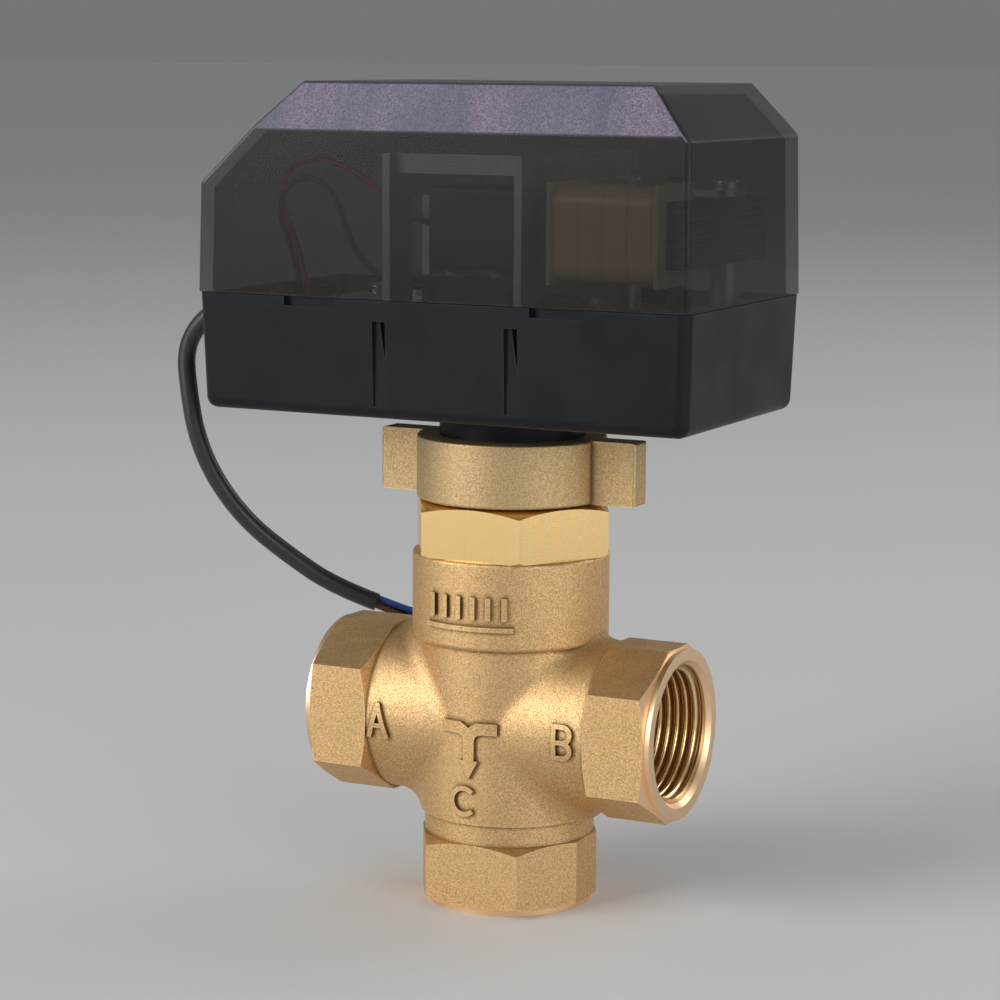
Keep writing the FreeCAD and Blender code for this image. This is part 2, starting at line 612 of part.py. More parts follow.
def tapered_block(planes, inset):
    """Convex block bounded by planes, each moved in by inset."""
    shape = Part.makeBox(2 * FAR, 2 * FAR, FAR, V(-FAR, -FAR, 0))
    for point, normal in planes:
        unit = V(*normal).normalize()
        shape = half_space_cut(shape, V(*point) - unit * inset, unit)
    return shape


def side_planes(level, draft, height):
    """Four drafted side planes through the parting outline at a level."""
    slope = draft / height
    return [((BOX_LEFT, 0, level), (-1, 0, slope)), ((BOX_RIGHT, 0, level), (1, 0, slope)),
            ((BOX_CENTRE_X, -BOX_HALF_DEPTH, level), (0, -1, slope)),
            ((BOX_CENTRE_X, BOX_HALF_DEPTH, level), (0, 1, slope))]


def cover_planes():
    """Sides, chamfers and top of the cover."""
    height = COVER_TOP_Z - PARTING_Z
    planes = side_planes(PARTING_Z, COVER_DRAFT, height)
    for (start, run), edge_x in ((LEFT_CHAMFER, BOX_LEFT), (RIGHT_CHAMFER, BOX_RIGHT)):
        away = -1 if edge_x < BOX_CENTRE_X else 1
        planes.append(((edge_x, 0, start), (away * (COVER_TOP_Z - start), 0, run)))
    start, run = FRONT_CHAMFER
    for away in (-1, 1):
        planes.append(((BOX_CENTRE_X, away * BOX_HALF_DEPTH, start), (0, away * (COVER_TOP_Z - start), run)))
    return planes + [((0, 0, COVER_TOP_Z), (0, 0, 1))]


def make_cover():
    """Smoked cover: a thin shell with four tongues that slip inside the base's walls."""
    bottom = PARTING_Z + PARTING_GAP
    outer = tapered_block(cover_planes(), 0).cut(cylinder(FAR, -1, bottom))
    outer = rounded(outer, COVER_ROUND, lambda edge: edge.BoundBox.ZMax > bottom + 0.1)
    inner = tapered_block(cover_planes(), WALL)
    shell = outer.cut(inner)
    reach = BOX_HALF_DEPTH - WALL - SOFT_GAP - BASE_DRAFT
    tongues = []
    for left, right in NOTCH_XS:
        middle = (left + right) / 2
        width = (middle - TAB_W / 2, middle + TAB_W / 2)
        for side in (-1, 1):
            span = sorted((side * (reach - TAB_T), side * reach))
            foot = sorted((side * (reach - TAB_T), side * (BOX_HALF_DEPTH - WALL / 2)))
            tongues.append(box(width, span, (PARTING_Z - TAB_DROP, bottom + 2)))
            tongues.append(box(width, foot, (bottom, bottom + 2)))
    return joined([shell] + tongues)


def base_planes():
    """Sides of the base, narrower towards its bottom, and its floor."""
    sides = side_planes(PARTING_Z, -BASE_DRAFT, PARTING_Z - BOX_BOTTOM_Z)
    return sides + [((0, 0, BOX_BOTTOM_Z), (0, 0, -1))]


def snap_finger(left):
    """Sloping finger inside a front window, which leaves a wedge open at the top right."""
    low, high = WINDOW_Z
    right = left + WINDOW_W
    points = [(left, 0, low), (right, 0, low), (right, 0, low + (high - low) * 0.42),
              (left + WINDOW_W * 0.45, 0, high), (left, 0, high)]
    return prism(points, V(0, -BOX_HALF_DEPTH + 1.0, 0), V(0, WALL - 1.0, 0))


def make_actuator_base():
    """Black tub with windows, pry notches, mounting boss, screw posts and the cable's hole."""
    outer = tapered_block(base_planes(), 0).cut(cylinder(FAR, PARTING_Z, PARTING_Z + FAR))
    outer = rounded(outer, BASE_ROUND, lambda edge: edge.BoundBox.ZMax < PARTING_Z - 0.1 or
                    edge.BoundBox.ZLength > 10)
    inner = tapered_block(base_planes()[:4], WALL).cut(cylinder(FAR, -1, BASE_FLOOR_Z))
    tub = outer.cut(inner)
    boss = cylinder(BOSS_R, SOCKET_FLOOR_Z + FIT_GAP, BASE_FLOOR_Z)
    posts = [cylinder(PILLAR_R + 0.8, BOX_BOTTOM_Z + 1, LOWER_PLATE_Z, x, y) for x, y in pillar_places()]
    tools = [cylinder(COUPLING_R + RUNNING, SOCKET_FLOOR_Z, LOWER_PLATE_Z)]
    tools += [cylinder(BASE_SCREW_R + FIT_GAP, SOCKET_FLOOR_Z, LOWER_PLATE_Z, x, y)
              for x, y in base_screw_places()]
    tools += [cylinder(PLATE_SCREW_R + RUNNING, BASE_FLOOR_Z + 0.6, LOWER_PLATE_Z + 1, x, y)
              for x, y in pillar_places()]
    for side in (-1, 1):
        wall = sorted((side * (BOX_HALF_DEPTH + 2), side * (BOX_HALF_DEPTH - WALL - BASE_DRAFT - 0.2)))
        tools += [box((left, left + WINDOW_W), wall, WINDOW_Z) for left in SLOT_LEFT_XS]
        notch = sorted((side * (BOX_HALF_DEPTH + 2), side * (BOX_HALF_DEPTH - NOTCH_DEPTH)))
        tools += [box(span, notch, (PARTING_Z - NOTCH_H, PARTING_Z + 1)) for span in NOTCH_XS]
    tools.append(Part.makeCylinder(GROMMET_R[1] + FIT_GAP, 2 * WALL + 4,
                                   V(BOX_LEFT - 2, CABLE_EXIT_Y, CABLE_EXIT_Z), X_AXIS))
    fingers = []
    for left in SLOT_LEFT_XS:
        finger = snap_finger(left)
        fingers += [finger, finger.mirror(V(0, 0, 0), Y_AXIS)]
    return joined([without(joined([tub, boss] + posts), tools)] + fingers)


def make_base_screws():
    """Two screws down through the boss into the collar."""
    tip = COLLAR_Z + 1.2
    return Part.makeCompound([pan_head_screw(x, y, tip, BASE_FLOOR_Z, BASE_SCREW_R, *BASE_SCREW_HEAD)
                              for x, y in base_screw_places()])


# ---- gear train ---------------------------------------------------------------------------

def pillar_places():
    """Corners where the pillars stand between the two gear plates."""
    return [(x, y) for x in PILLAR_XS for y in (-PILLAR_Y, PILLAR_Y)]


def centre_distance(module, teeth_1, teeth_2):
    """Distance between the axes of two wheels in mesh."""
    return module * (teeth_1 + teeth_2) / 2 + CENTRE_SLACK


def second_gear_place():
    """Axis of the second gear, in mesh with the output wheel."""
    reach = centre_distance(MODULE_3, OUTPUT_TEETH, SECOND_PINION_TEETH)
    angle = math.radians(SECOND_GEAR_ANGLE)
    return (reach * math.cos(angle), reach * math.sin(angle))


def first_gear_place():
    """Axis of the first gear, in mesh with both the second gear and the rotor's pinion."""
    x, y = second_gear_place()
    to_second = centre_distance(MODULE_2, SECOND_WHEEL_TEETH, FIRST_PINION_TEETH)
    to_rotor = centre_distance(MODULE_1, FIRST_WHEEL_TEETH, ROTOR_TEETH)
    span = math.hypot(ROTOR_X - x, ROTOR_Y - y)
    towards = math.atan2(ROTOR_Y - y, ROTOR_X - x)
    opening = math.acos((to_second ** 2 + span ** 2 - to_rotor ** 2) / (2 * to_second * span))
    angle = towards - opening
    return (x + to_second * math.cos(angle), y + to_second * math.sin(angle))


def bearing(start, end):
    """Direction from one axis to another, in degrees."""
    return math.degrees(math.atan2(end[1] - start[1], end[0] - start[0]))


def involute_angle(base_r, radius):
    """Polar angle of an involute at a radius, from where it leaves the base circle."""
    if radius <= base_r:
        return 0.0
    roll = math.sqrt((radius / base_r) ** 2 - 1)
    return roll - math.atan(roll)


def gear_outline(module, teeth, tip_share, phase):
    """Closed wire of an involute wheel with one tooth centred on the phase angle."""
    pitch_r = module * teeth / 2
    base_r = pitch_r * math.cos(math.radians(PRESSURE_ANGLE))
    tip_r = pitch_r + tip_share * module
    root_r = pitch_r - ROOT_DEPTH * module
    half_tooth = math.pi / 2 / teeth - BACKLASH / pitch_r + involute_angle(base_r, pitch_r)
    start_r = max(base_r, root_r)
    half_root = half_tooth - involute_angle(base_r, start_r)
    flank_rs = [start_r + (tip_r - start_r) * i / 3 for i in range(4)]

    def at(radius, angle):
        return V(radius * math.cos(angle), radius * math.sin(angle), 0)

    edges = []
    for i in range(teeth):
        middle = math.radians(phase) + 2 * math.pi * i / teeth
        following = middle + 2 * math.pi / teeth
        rise = [at(r, middle - half_tooth + involute_angle(base_r, r)) for r in flank_rs]
        fall = [at(r, middle + half_tooth - involute_angle(base_r, r)) for r in reversed(flank_rs)]
        next_rise = at(start_r, following - half_root)
        root = [at(root_r, middle + half_root), at(root_r, (middle + following) / 2),
                at(root_r, following - half_root)]
        for points in (rise, fall):
            flank = Part.BSplineCurve()
            flank.interpolate(points)
            edges.append(flank.toShape())
        edges.append(Part.Arc(rise[-1], at(tip_r, middle), fall[0]).toShape())
        if root_r < base_r:
            edges.append(Part.LineSegment(fall[-1], root[0]).toShape())
            edges.append(Part.LineSegment(root[2], next_rise).toShape())
        edges.append(Part.Arc(*root).toShape())
    return Part.Wire(Part.__sortEdges__(edges))


def gear_solid(place, module, teeth, tip_share, phase, low, high):
    """Toothed disc at a place, between two heights."""
    disc = Part.Face(gear_outline(module, teeth, tip_share, phase)).extrude(V(0, 0, high - low))
    disc.translate(V(place[0], place[1], low))
    return disc


def hub(place, radius, low, high):
    """Round hub of a gear."""
    return cylinder(radius, low, high, place[0], place[1])


def make_output_gear():
    """Output wheel, keyed on the coupling, with four lightening holes."""
    place = (0.0, 0.0)
    phase = bearing(place, second_gear_place())
    wheel = gear_solid(place, MODULE_3, OUTPUT_TEETH, WHEEL_TIP, phase, *OUTPUT_Z)
    tools = [coupling_bar(OUTPUT_Z[0] - 1, OUTPUT_Z[1] + 1, FIT_GAP / 2)]
    for i in range(4):
        angle = math.radians(45 + 90 * i)
        tools.append(cylinder(LIGHTENING_R, OUTPUT_Z[0] - 1, OUTPUT_Z[1] + 1,
                              LIGHTENING_PITCH_R * math.cos(angle), LIGHTENING_PITCH_R * math.sin(angle)))
    return without(wheel, tools)


def coupling_bar(low, high, extra):
    """Double-flatted bar of the coupling's waist, which carries the output wheel."""
    flats = box((-COUPLING_R, COUPLING_R), (-COUPLING_FLAT - extra, COUPLING_FLAT + extra), (low, high))
    return cylinder(COUPLING_R - 0.6 + extra, low, high).common(flats)


def make_drive_coupling():
    """Coupling from the stem's square to the output wheel and the cam, in two bearings."""
    shoulder = OUTPUT_Z[0] - 0.6
    parts = [cylinder(COUPLING_R, COUPLING_FOOT_Z, shoulder), coupling_bar(shoulder, OUTPUT_Z[1] + 0.6, 0),
             cylinder(JOURNAL_R, OUTPUT_Z[1], CAM_Z + CAM_T + 1.2)]
    socket = STEM_FLAT + FIT_GAP / 2
    square = box((-socket, socket), (-socket, socket), (COUPLING_FOOT_Z - 1, STEM_TOP_Z + 0.4))
    key_flat = box((JOURNAL_R - 0.7, JOURNAL_R + 1), (-5, 5), (CAM_Z - 0.5, CAM_Z + CAM_T + 3))
    return without(joined(parts), [square, key_flat])


def make_second_gear():
    """Second wheel and the pinion below it, in one piece."""
    place = second_gear_place()
    to_output = bearing(place, (0.0, 0.0))
    pinion_phase = to_output + 180 / SECOND_PINION_TEETH
    wheel_phase = bearing(place, first_gear_place())
    pinion = gear_solid(place, MODULE_3, SECOND_PINION_TEETH, PINION_TIP, pinion_phase, OUTPUT_Z[0] - 0.3,
                        SECOND_WHEEL_Z[0])
    wheel = gear_solid(place, MODULE_2, SECOND_WHEEL_TEETH, WHEEL_TIP, wheel_phase, *SECOND_WHEEL_Z)
    hubs = [hub(place, 2.6, GEAR_Z + GEAR_HUB_GAP, SECOND_WHEEL_Z[0]),
            hub(place, 3.0, SECOND_WHEEL_Z[1], UPPER_PLATE_Z - GEAR_HUB_GAP)]
    return joined([pinion, wheel] + hubs).cut(cylinder(PIN_R + RUNNING, GEAR_Z - 1, DECK_Z, *place))


def make_first_gear():
    """First wheel and the pinion below it, in one piece."""
    place = first_gear_place()
    to_second = bearing(place, second_gear_place())
    pinion_phase = to_second + 180 / FIRST_PINION_TEETH
    wheel_phase = bearing(place, (ROTOR_X, ROTOR_Y))
    pinion = gear_solid(place, MODULE_2, FIRST_PINION_TEETH, PINION_TIP, pinion_phase,
                        SECOND_WHEEL_Z[0] - 0.3, FIRST_WHEEL_Z[0])
    wheel = gear_solid(place, MODULE_1, FIRST_WHEEL_TEETH, WHEEL_TIP, wheel_phase, *FIRST_WHEEL_Z)
    hubs = [hub(place, 2.5, GEAR_Z + GEAR_HUB_GAP, SECOND_WHEEL_Z[0]),
            hub(place, 2.8, FIRST_WHEEL_Z[1], UPPER_PLATE_Z - GEAR_HUB_GAP)]
    return joined([pinion, wheel] + hubs).cut(cylinder(PIN_R + RUNNING, GEAR_Z - 1, DECK_Z, *place))


def make_gear_pins():
    """Two fixed pins that the intermediate gears turn on."""
    return Part.makeCompound([cylinder(PIN_R, LOWER_PLATE_Z, DECK_Z + 0.4, *place)
                              for place in (second_gear_place(), first_gear_place())])


def make_gear_plate(low, holes):
    """Steel plate with holes, each (x, y, radius)."""
    plate = box((PLATE_LEFT, PLATE_RIGHT), (-PLATE_HALF_DEPTH, PLATE_HALF_DEPTH), (low, low + PLATE_T))
    plate = rounded(plate, 2.5, lambda edge: edge.BoundBox.ZLength > PLATE_T / 2)
    return without(plate, [cylinder(radius, low - 1, low + PLATE_T + 1, x, y) for x, y, radius in holes])


def pin_holes():
    """Holes for the gear pins and the plate screws, the same in both plates."""
    places = [second_gear_place(), first_gear_place()]
    return ([(x, y, PIN_R + RUNNING / 2) for x, y in places] +
            [(x, y, PLATE_SCREW_R + RUNNING) for x, y in pillar_places()])


def make_lower_gear_plate():
    """Plate on the base's posts, open round the coupling and over the base screws."""
    return make_gear_plate(LOWER_PLATE_Z, pin_holes() + [(0, 0, COUPLING_R + SOFT_GAP + 0.2)] +
                           [(x, y, 3.2) for x, y in base_screw_places()])


def make_upper_gear_plate():
    """Plate that bears the coupling and the rotor, and carries the motor, frame and switches."""
    holes = pin_holes() + [(0, 0, JOURNAL_R + RUNNING), (ROTOR_X, ROTOR_Y, SHAFT_R + SOFT_GAP)]
    holes += [(x, y, MOTOR_SCREW_R + RUNNING) for x, y in motor_screw_places()]
    holes += [(x, y, SWITCH_SCREW_R + RUNNING) for x, y in switch_screw_places()]
    holes += [(x, y, FRAME_SCREW_R + RUNNING) for x, y in frame_screw_places()]
    return make_gear_plate(UPPER_PLATE_Z, holes)


def make_plate_pillars():
    """Four tubular pillars between the gear plates."""
    return Part.makeCompound([cylinder(PILLAR_R, GEAR_Z, UPPER_PLATE_Z, x, y).cut(
        cylinder(PLATE_SCREW_R + RUNNING, GEAR_Z - 1, DECK_Z, x, y)) for x, y in pillar_places()])


def make_plate_screws():
    """Four long screws through plates and pillars into the base's posts."""
    tip = BASE_FLOOR_Z + 0.8
    return Part.makeCompound([pan_head_screw(x, y, tip, DECK_Z, PLATE_SCREW_R, *PLATE_SCREW_HEAD)
                              for x, y in pillar_places()])


# ---- motor --------------------------------------------------------------------------------

def motor_screw_places():
    """The two long screws through the lamination stack, left and right of the rotor."""
    return [(ROTOR_X + side * MOTOR_SCREW_PITCH / 2, ROTOR_Y) for side in (-1, 1)]


def make_motor_stack():
    """C-shaped lamination stack round the rotor, scored like stacked sheets."""
    x_span = (ROTOR_X - STACK_HALF_WIDTH, ROTOR_X + STACK_HALF_WIDTH)
    z_span = (STACK_Z, STACK_TOP_Z)
    block = box(x_span, (ROTOR_Y - STACK_BLOCK_HALF, ROTOR_Y + STACK_BLOCK_HALF), z_span)
    arms = [box((x_span[0], x_span[0] + STACK_ARM_W), (CORE_Y[0], ROTOR_Y), z_span),
            box((x_span[1] - STACK_ARM_W, x_span[1]), (CORE_Y[0], ROTOR_Y), z_span)]
    tools = [cylinder(ROTOR_HOLE_R, STACK_Z - 1, STACK_TOP_Z + 1, ROTOR_X, ROTOR_Y)]
    tools += [cylinder(MOTOR_SCREW_R + RUNNING, STACK_Z - 1, STACK_TOP_Z + 1, x, y)
              for x, y in motor_screw_places()]
    stack = without(joined([block] + arms), tools)
    back = ROTOR_Y + STACK_BLOCK_HALF
    scores = []
    for i in range(1, SCORE_COUNT + 1):
        z = STACK_Z + STACK_H * i / (SCORE_COUNT + 1)
        shell = box((x_span[0] - 1, x_span[1] + 1), (CORE_Y[0] - 1, back + 1),
                    (z - SCORE_SIZE / 2, z + SCORE_SIZE / 2))
        core = box((x_span[0] + SCORE_SIZE, x_span[1] - SCORE_SIZE),
                   (CORE_Y[0] + SCORE_SIZE, back - SCORE_SIZE), (z - 1, z + 1))
        scores.append(shell.cut(core))
    return without(stack, scores)


def make_motor_core():
    """Straight laminated bar that carries the coil between the stack's arms."""
    arm = STACK_HALF_WIDTH - STACK_ARM_W
    return box((ROTOR_X - arm, ROTOR_X + arm), CORE_Y, (STACK_Z, STACK_TOP_Z))


def make_motor_bobbin():
    """Bobbin: a square tube over the core with a cheek at each end."""
    arm = STACK_HALF_WIDTH - STACK_ARM_W - 0.1
    x_span = (ROTOR_X - arm, ROTOR_X + arm)
    gap = FIT_GAP
    low = (CORE_Y[0] - gap - BOBBIN_WALL, CORE_Y[1] + gap + BOBBIN_WALL)
    high = (STACK_Z - gap - BOBBIN_WALL, STACK_TOP_Z + gap + BOBBIN_WALL)
    tube = box(x_span, low, high)
    cheeks = [box((x_span[0], x_span[0] + CHEEK_T), COIL_Y, COIL_Z),
              box((x_span[1] - CHEEK_T, x_span[1]), COIL_Y, COIL_Z)]
    hole = box((x_span[0] - 1, x_span[1] + 1), (CORE_Y[0] - gap, CORE_Y[1] + gap),
               (STACK_Z - gap, STACK_TOP_Z + gap))
    return joined([tube] + cheeks).cut(hole)


def make_motor_coil():
    """Taped winding between the bobbin's cheeks."""
    arm = STACK_HALF_WIDTH - STACK_ARM_W - 0.1 - CHEEK_T
    inset = 0.5
    x_span = (ROTOR_X - arm, ROTOR_X + arm)
    winding = box(x_span, (COIL_Y[0] + inset, COIL_Y[1] - inset), (COIL_Z[0] + inset, COIL_Z[1] - inset))
    winding = rounded(winding, 3.2, lambda edge: edge.BoundBox.XLength > 5)
    gap = FIT_GAP + BOBBIN_WALL
    hole = box((x_span[0] - 1, x_span[1] + 1), (CORE_Y[0] - gap, CORE_Y[1] + gap),
               (STACK_Z - gap, STACK_TOP_Z + gap))
    return winding.cut(hole)


def motor_strip(low):
    """Bearing strip across the rotor, bored for its bush and the two screws."""
    half = MOTOR_SCREW_PITCH / 2 + 3.2
    strip = box((ROTOR_X - half, ROTOR_X + half), (ROTOR_Y - STRIP_HALF_DEPTH, ROTOR_Y + STRIP_HALF_DEPTH),
                (low, low + BRACKET_T))
    strip = rounded(strip, 3.0, lambda edge: edge.BoundBox.ZLength > BRACKET_T / 2)
    tools = [cylinder(BUSH_R, low - 1, low + 3, ROTOR_X, ROTOR_Y)]
    tools += [cylinder(MOTOR_SCREW_R + RUNNING, low - 1, low + 3, x, y) for x, y in motor_screw_places()]
    return without(strip, tools)


def make_motor_strips():
    """Bearing strips under and over the stack."""
    return Part.makeCompound([motor_strip(STACK_Z - BRACKET_T), motor_strip(STACK_TOP_Z)])


def make_rotor_bushes():
    """Two bronze bushes, flanged on the outside of the strips."""
    bushes = []
    for inside, outside in ((STACK_Z - BRACKET_T, -1), (STACK_TOP_Z + BRACKET_T, 1)):
        body = sorted((inside - outside * BRACKET_T, inside))
        flange = sorted((inside, inside + outside * BUSH_FLANGE[1]))
        bush = joined([cylinder(BUSH_R - RUNNING / 2, *body, ROTOR_X, ROTOR_Y),
                       cylinder(BUSH_FLANGE[0], *flange, ROTOR_X, ROTOR_Y)])
        bushes.append(bush.cut(cylinder(SHAFT_R + RUNNING, STACK_Z - 9, STACK_TOP_Z + 9, ROTOR_X, ROTOR_Y)))
    return Part.makeCompound(bushes)


def make_rotor():
    """Magnet drum on its shaft."""
    drum = cylinder(ROTOR_R, STACK_Z + 0.5, STACK_TOP_Z - 0.5, ROTOR_X, ROTOR_Y)
    drum = rounded(drum, 0.5, lambda edge: edge.BoundBox.ZLength < 0.01)
    shaft = cylinder(SHAFT_R, FIRST_WHEEL_Z[0] - 0.8, STACK_TOP_Z + 3.4, ROTOR_X, ROTOR_Y)
    return joined([drum, shaft])


def make_rotor_pinion():
    """Pinion pressed on the rotor's shaft."""
    place = (ROTOR_X, ROTOR_Y)
    phase = bearing(place, first_gear_place()) + 180 / ROTOR_TEETH
    pinion = gear_solid(place, MODULE_1, ROTOR_TEETH, PINION_TIP, phase, FIRST_WHEEL_Z[0] - 0.4,
                        FIRST_WHEEL_Z[1] + 0.6)
    return pinion.cut(cylinder(SHAFT_R, FIRST_WHEEL_Z[0] - 3, DECK_Z, *place))


def make_motor_spacers():
    """Two tubes that stand the motor off the upper gear plate."""
    return Part.makeCompound([cylinder(SPACER_R, DECK_Z, STACK_Z - BRACKET_T, x, y).cut(
        cylinder(MOTOR_SCREW_R + RUNNING, DECK_Z - 1, STACK_Z, x, y)) for x, y in motor_screw_places()])


def make_motor_screws():
    """Two long screws through the strips, stack and spacers into the upper gear plate."""
    seat = STACK_TOP_Z + BRACKET_T
    return Part.makeCompound([pan_head_screw(x, y, UPPER_PLATE_Z, seat, MOTOR_SCREW_R, *MOTOR_SCREW_HEAD)
                              for x, y in motor_screw_places()])


# ---- steel frame, switches and capacitor --------------------------------------------------

def frame_screw_places():
    """The two screws through the frame's feet."""
    return [(LEG_XS[0] - 5.0, 0.0), (LEG_XS[1] + LEG_T + 4.2, -3.0)]


def make_steel_frame():
    """Folded frame: two upright legs with tabs down to the base's windows, a top and two feet."""
    parts = []
    for left in LEG_XS:
        span = (left, left + LEG_T)
        parts.append(box(span, (-FRAME_FOOT_HALF, FRAME_FOOT_HALF), (DECK_Z, FRAME_TOP_Z)))
        parts.append(box(span, (-FRAME_HALF_DEPTH, FRAME_HALF_DEPTH), (DECK_Z + 1.5, FRAME_TOP_Z)))
        for side in (-1, 1):
            edge = sorted((side * FRAME_HALF_DEPTH, side * (FRAME_HALF_DEPTH - FRAME_TAB_W)))
            parts.append(box(span, edge, (WINDOW_Z[0] + 0.6, DECK_Z + 2)))
    across = (LEG_XS[0], LEG_XS[1] + LEG_T)
    edge_y = FRAME_HALF_DEPTH - 2
    parts.append(box(across, (-edge_y, edge_y), (FRAME_TOP_Z - LEG_T, FRAME_TOP_Z)))
    parts.append(box(across, (-edge_y, LEG_T - edge_y), (FRAME_TOP_Z - FRAME_LIP, FRAME_TOP_Z)))
    foot_z = (DECK_Z, DECK_Z + LEG_T)
    (left_x, left_y), (right_x, right_y) = frame_screw_places()
    parts.append(box((left_x - 3.4, LEG_XS[0] + 0.5), (left_y - 4, left_y + 4), foot_z))
    parts.append(box((LEG_XS[1] + LEG_T - 0.5, right_x + 3.0), (right_y - 4, right_y + 4), foot_z))
    tools = [cylinder(FRAME_SCREW_R + FIT_GAP, DECK_Z - 1, DECK_Z + 4, x, y)
             for x, y in frame_screw_places()]
    slot_y, slot_top = FRAME_SLOT
    tools.append(box((LEG_XS[0] - 1, LEG_XS[0] + LEG_T + 1), slot_y, (DECK_Z + 1.4, slot_top)))
    return without(joined(parts), tools)


def make_frame_screws():
    """Two screws that hold the frame's feet down."""
    return Part.makeCompound([pan_head_screw(x, y, UPPER_PLATE_Z - 1.2, DECK_Z + LEG_T, FRAME_SCREW_R,
                                              *FRAME_SCREW_HEAD)
                              for x, y in frame_screw_places()])


def switch_screw_places():
    """Screw places of both limit switches."""
    reach = SWITCH_NEAR + SWITCH_SIZE[1] / 2 + 1.4
    return [(x, side * reach) for side in (-1, 1) for x in (-SWITCH_HOLE_PITCH / 2, SWITCH_HOLE_PITCH / 2)]


def make_limit_switch(side):
    """Closed switch body on the upper gear plate, with the plunger's hole and two terminals."""
    length, depth, height = SWITCH_SIZE
    near, far = SWITCH_NEAR, SWITCH_NEAR + depth
    body = box((-length / 2, length / 2), sorted((side * near, side * far)), (DECK_Z, DECK_Z + height))
    body = rounded(body, 0.4, lambda edge: edge.BoundBox.ZMin > DECK_Z + height / 2 and
                   edge.BoundBox.ZLength < 0.01)
    terminals = [box((x - 0.25, x + 0.25), sorted((side * (far - 1), side * (far + 1.8))),
                     (DECK_Z + 1.6, DECK_Z + 4.4)) for x in (-8.2, 8.2)]
    plunger_hole = Part.makeCylinder(PLUNGER_R + RUNNING, 4.2, V(0, side * (near - 0.5), CAM_Z + CAM_T / 2),
                                     V(0, side, 0))
    tools = [plunger_hole] + [cylinder(SWITCH_SCREW_R + RUNNING, DECK_Z - 1, DECK_Z + height + 1, x, y)
                              for x, y in switch_screw_places()]
    return without(joined([body] + terminals), tools)


def make_plunger(side):
    """Round-nosed plunger that rides on the cam; its rest place depends on the cam's radius there."""
    surface = (CAM_LOW_R + CAM_RISE if side > 0 else CAM_LOW_R) + FIT_GAP
    end = SWITCH_NEAR + (2.3 if side > 0 else 1.3)
    nose = Part.makeSphere(PLUNGER_R, V(0, side * (surface + PLUNGER_R), CAM_Z + CAM_T / 2))
    length = end - surface - PLUNGER_R
    shank = Part.makeCylinder(PLUNGER_R, length, V(0, side * (surface + PLUNGER_R), CAM_Z + CAM_T / 2),
                              V(0, side, 0))
    return joined([nose, shank])


def cam_radius(angle):
    """Radius of the limit cam at an angle in degrees: a steady rise, a dwell and a steady fall."""
    if 0 <= angle <= 90:
        return CAM_LOW_R + CAM_RISE * angle / 90
    if 90 < angle <= 180:
        return CAM_LOW_R + CAM_RISE
    if 180 < angle <= 270:
        return CAM_LOW_R + CAM_RISE * (270 - angle) / 90
    return CAM_LOW_R


def make_limit_cam():
    """Cam on the coupling's journal."""
    step = 5
    points = [(cam_radius(a) * math.cos(math.radians(a)), cam_radius(a) * math.sin(math.radians(a)), CAM_Z)
              for a in range(0, 360, step)]
    disc = prism(points, V(0, 0, 0), V(0, 0, CAM_T))
    bore = cylinder(JOURNAL_R + FIT_GAP / 2, CAM_Z - 1, CAM_Z + CAM_T + 1)
    flat = box((JOURNAL_R - 0.7 + FIT_GAP / 2, 2 * JOURNAL_R), (-5, 5), (CAM_Z - 2, CAM_Z + CAM_T + 2))
    return disc.cut(bore.cut(flat))


def make_switch_screws():
    """Four screws through the switches into the upper gear plate."""
    tip, seat = UPPER_PLATE_Z - 0.4, DECK_Z + SWITCH_SIZE[2]
    return Part.makeCompound([pan_head_screw(x, y, tip, seat, SWITCH_SCREW_R, *SWITCH_SCREW_HEAD)
                              for x, y in switch_screw_places()])


def make_capacitor():
    """Moulded capacitor fixed to the frame's right leg."""
    block = box(*CAPACITOR)
    return rounded(block, 1.2, lambda edge: edge.BoundBox.XMin < CAPACITOR[0][1] - 0.1)


# ---- cables -------------------------------------------------------------------------------

def round_path(points):
    """Straight runs joined by tangent arcs through a route's points, with each arc's radius."""
    points = [V(*point) for point in points]
    edges, radii = [], []
    start = points[0]
    for before, corner, after in zip(points, points[1:], points[2:]):
        back = (before - corner).normalize()
        ahead = (after - corner).normalize()
        turn = math.pi - back.getAngle(ahead)
        cut = 0.45 * min((before - corner).Length, (after - corner).Length)
        radius = cut / math.tan(turn / 2)
        enter, leave = corner + back * cut, corner + ahead * cut
        middle_direction = (back + ahead).normalize()
        middle = corner + middle_direction * (radius / math.cos(turn / 2) - radius)
        edges.append(Part.LineSegment(start, enter).toShape())
        edges.append(Part.Arc(enter, middle, leave).toShape())
        radii.append(radius)
        start = leave
    edges.append(Part.LineSegment(start, points[-1]).toShape())
    return Part.Wire(edges), radii


def tube(name, points, radius):
    """Round cord along a route; prints its length, its volume against section x length and its radii."""
    path, radii = round_path(points)
    first = (V(*points[1]) - V(*points[0])).normalize()
    ring = Part.Wire(Part.Circle(V(*points[0]), first, radius).toShape())
    solid = path.makePipeShell([ring], True, False)
    share = solid.Volume / (math.pi * radius ** 2 * path.Length)
    print(name, "length %.1f" % path.Length, "volume share %.4f" % share,
          "radii in diameters", ["%.1f" % (r / 2 / radius) for r in radii])
    return solid


def cable_route():
    """Jacket's free length, out of the grommet and along its hanging route."""
    return ((CABLE_START_X, CABLE_EXIT_Y, CABLE_EXIT_Z),) + CABLE_ROUTE


def make_cable_tail():
    """The jacket's last stretch, straight through the grommet and the wall."""
    return Part.makeCylinder(CABLE_R, CABLE_INSIDE_X - CABLE_START_X,
                             V(CABLE_START_X, CABLE_EXIT_Y, CABLE_EXIT_Z), X_AXIS)


def jacket_end():
    """Centre and direction of the jacket's cut end."""
    end, before = V(*CABLE_ROUTE[-1]), V(*CABLE_ROUTE[-2])
    return end, (end - before).normalize()


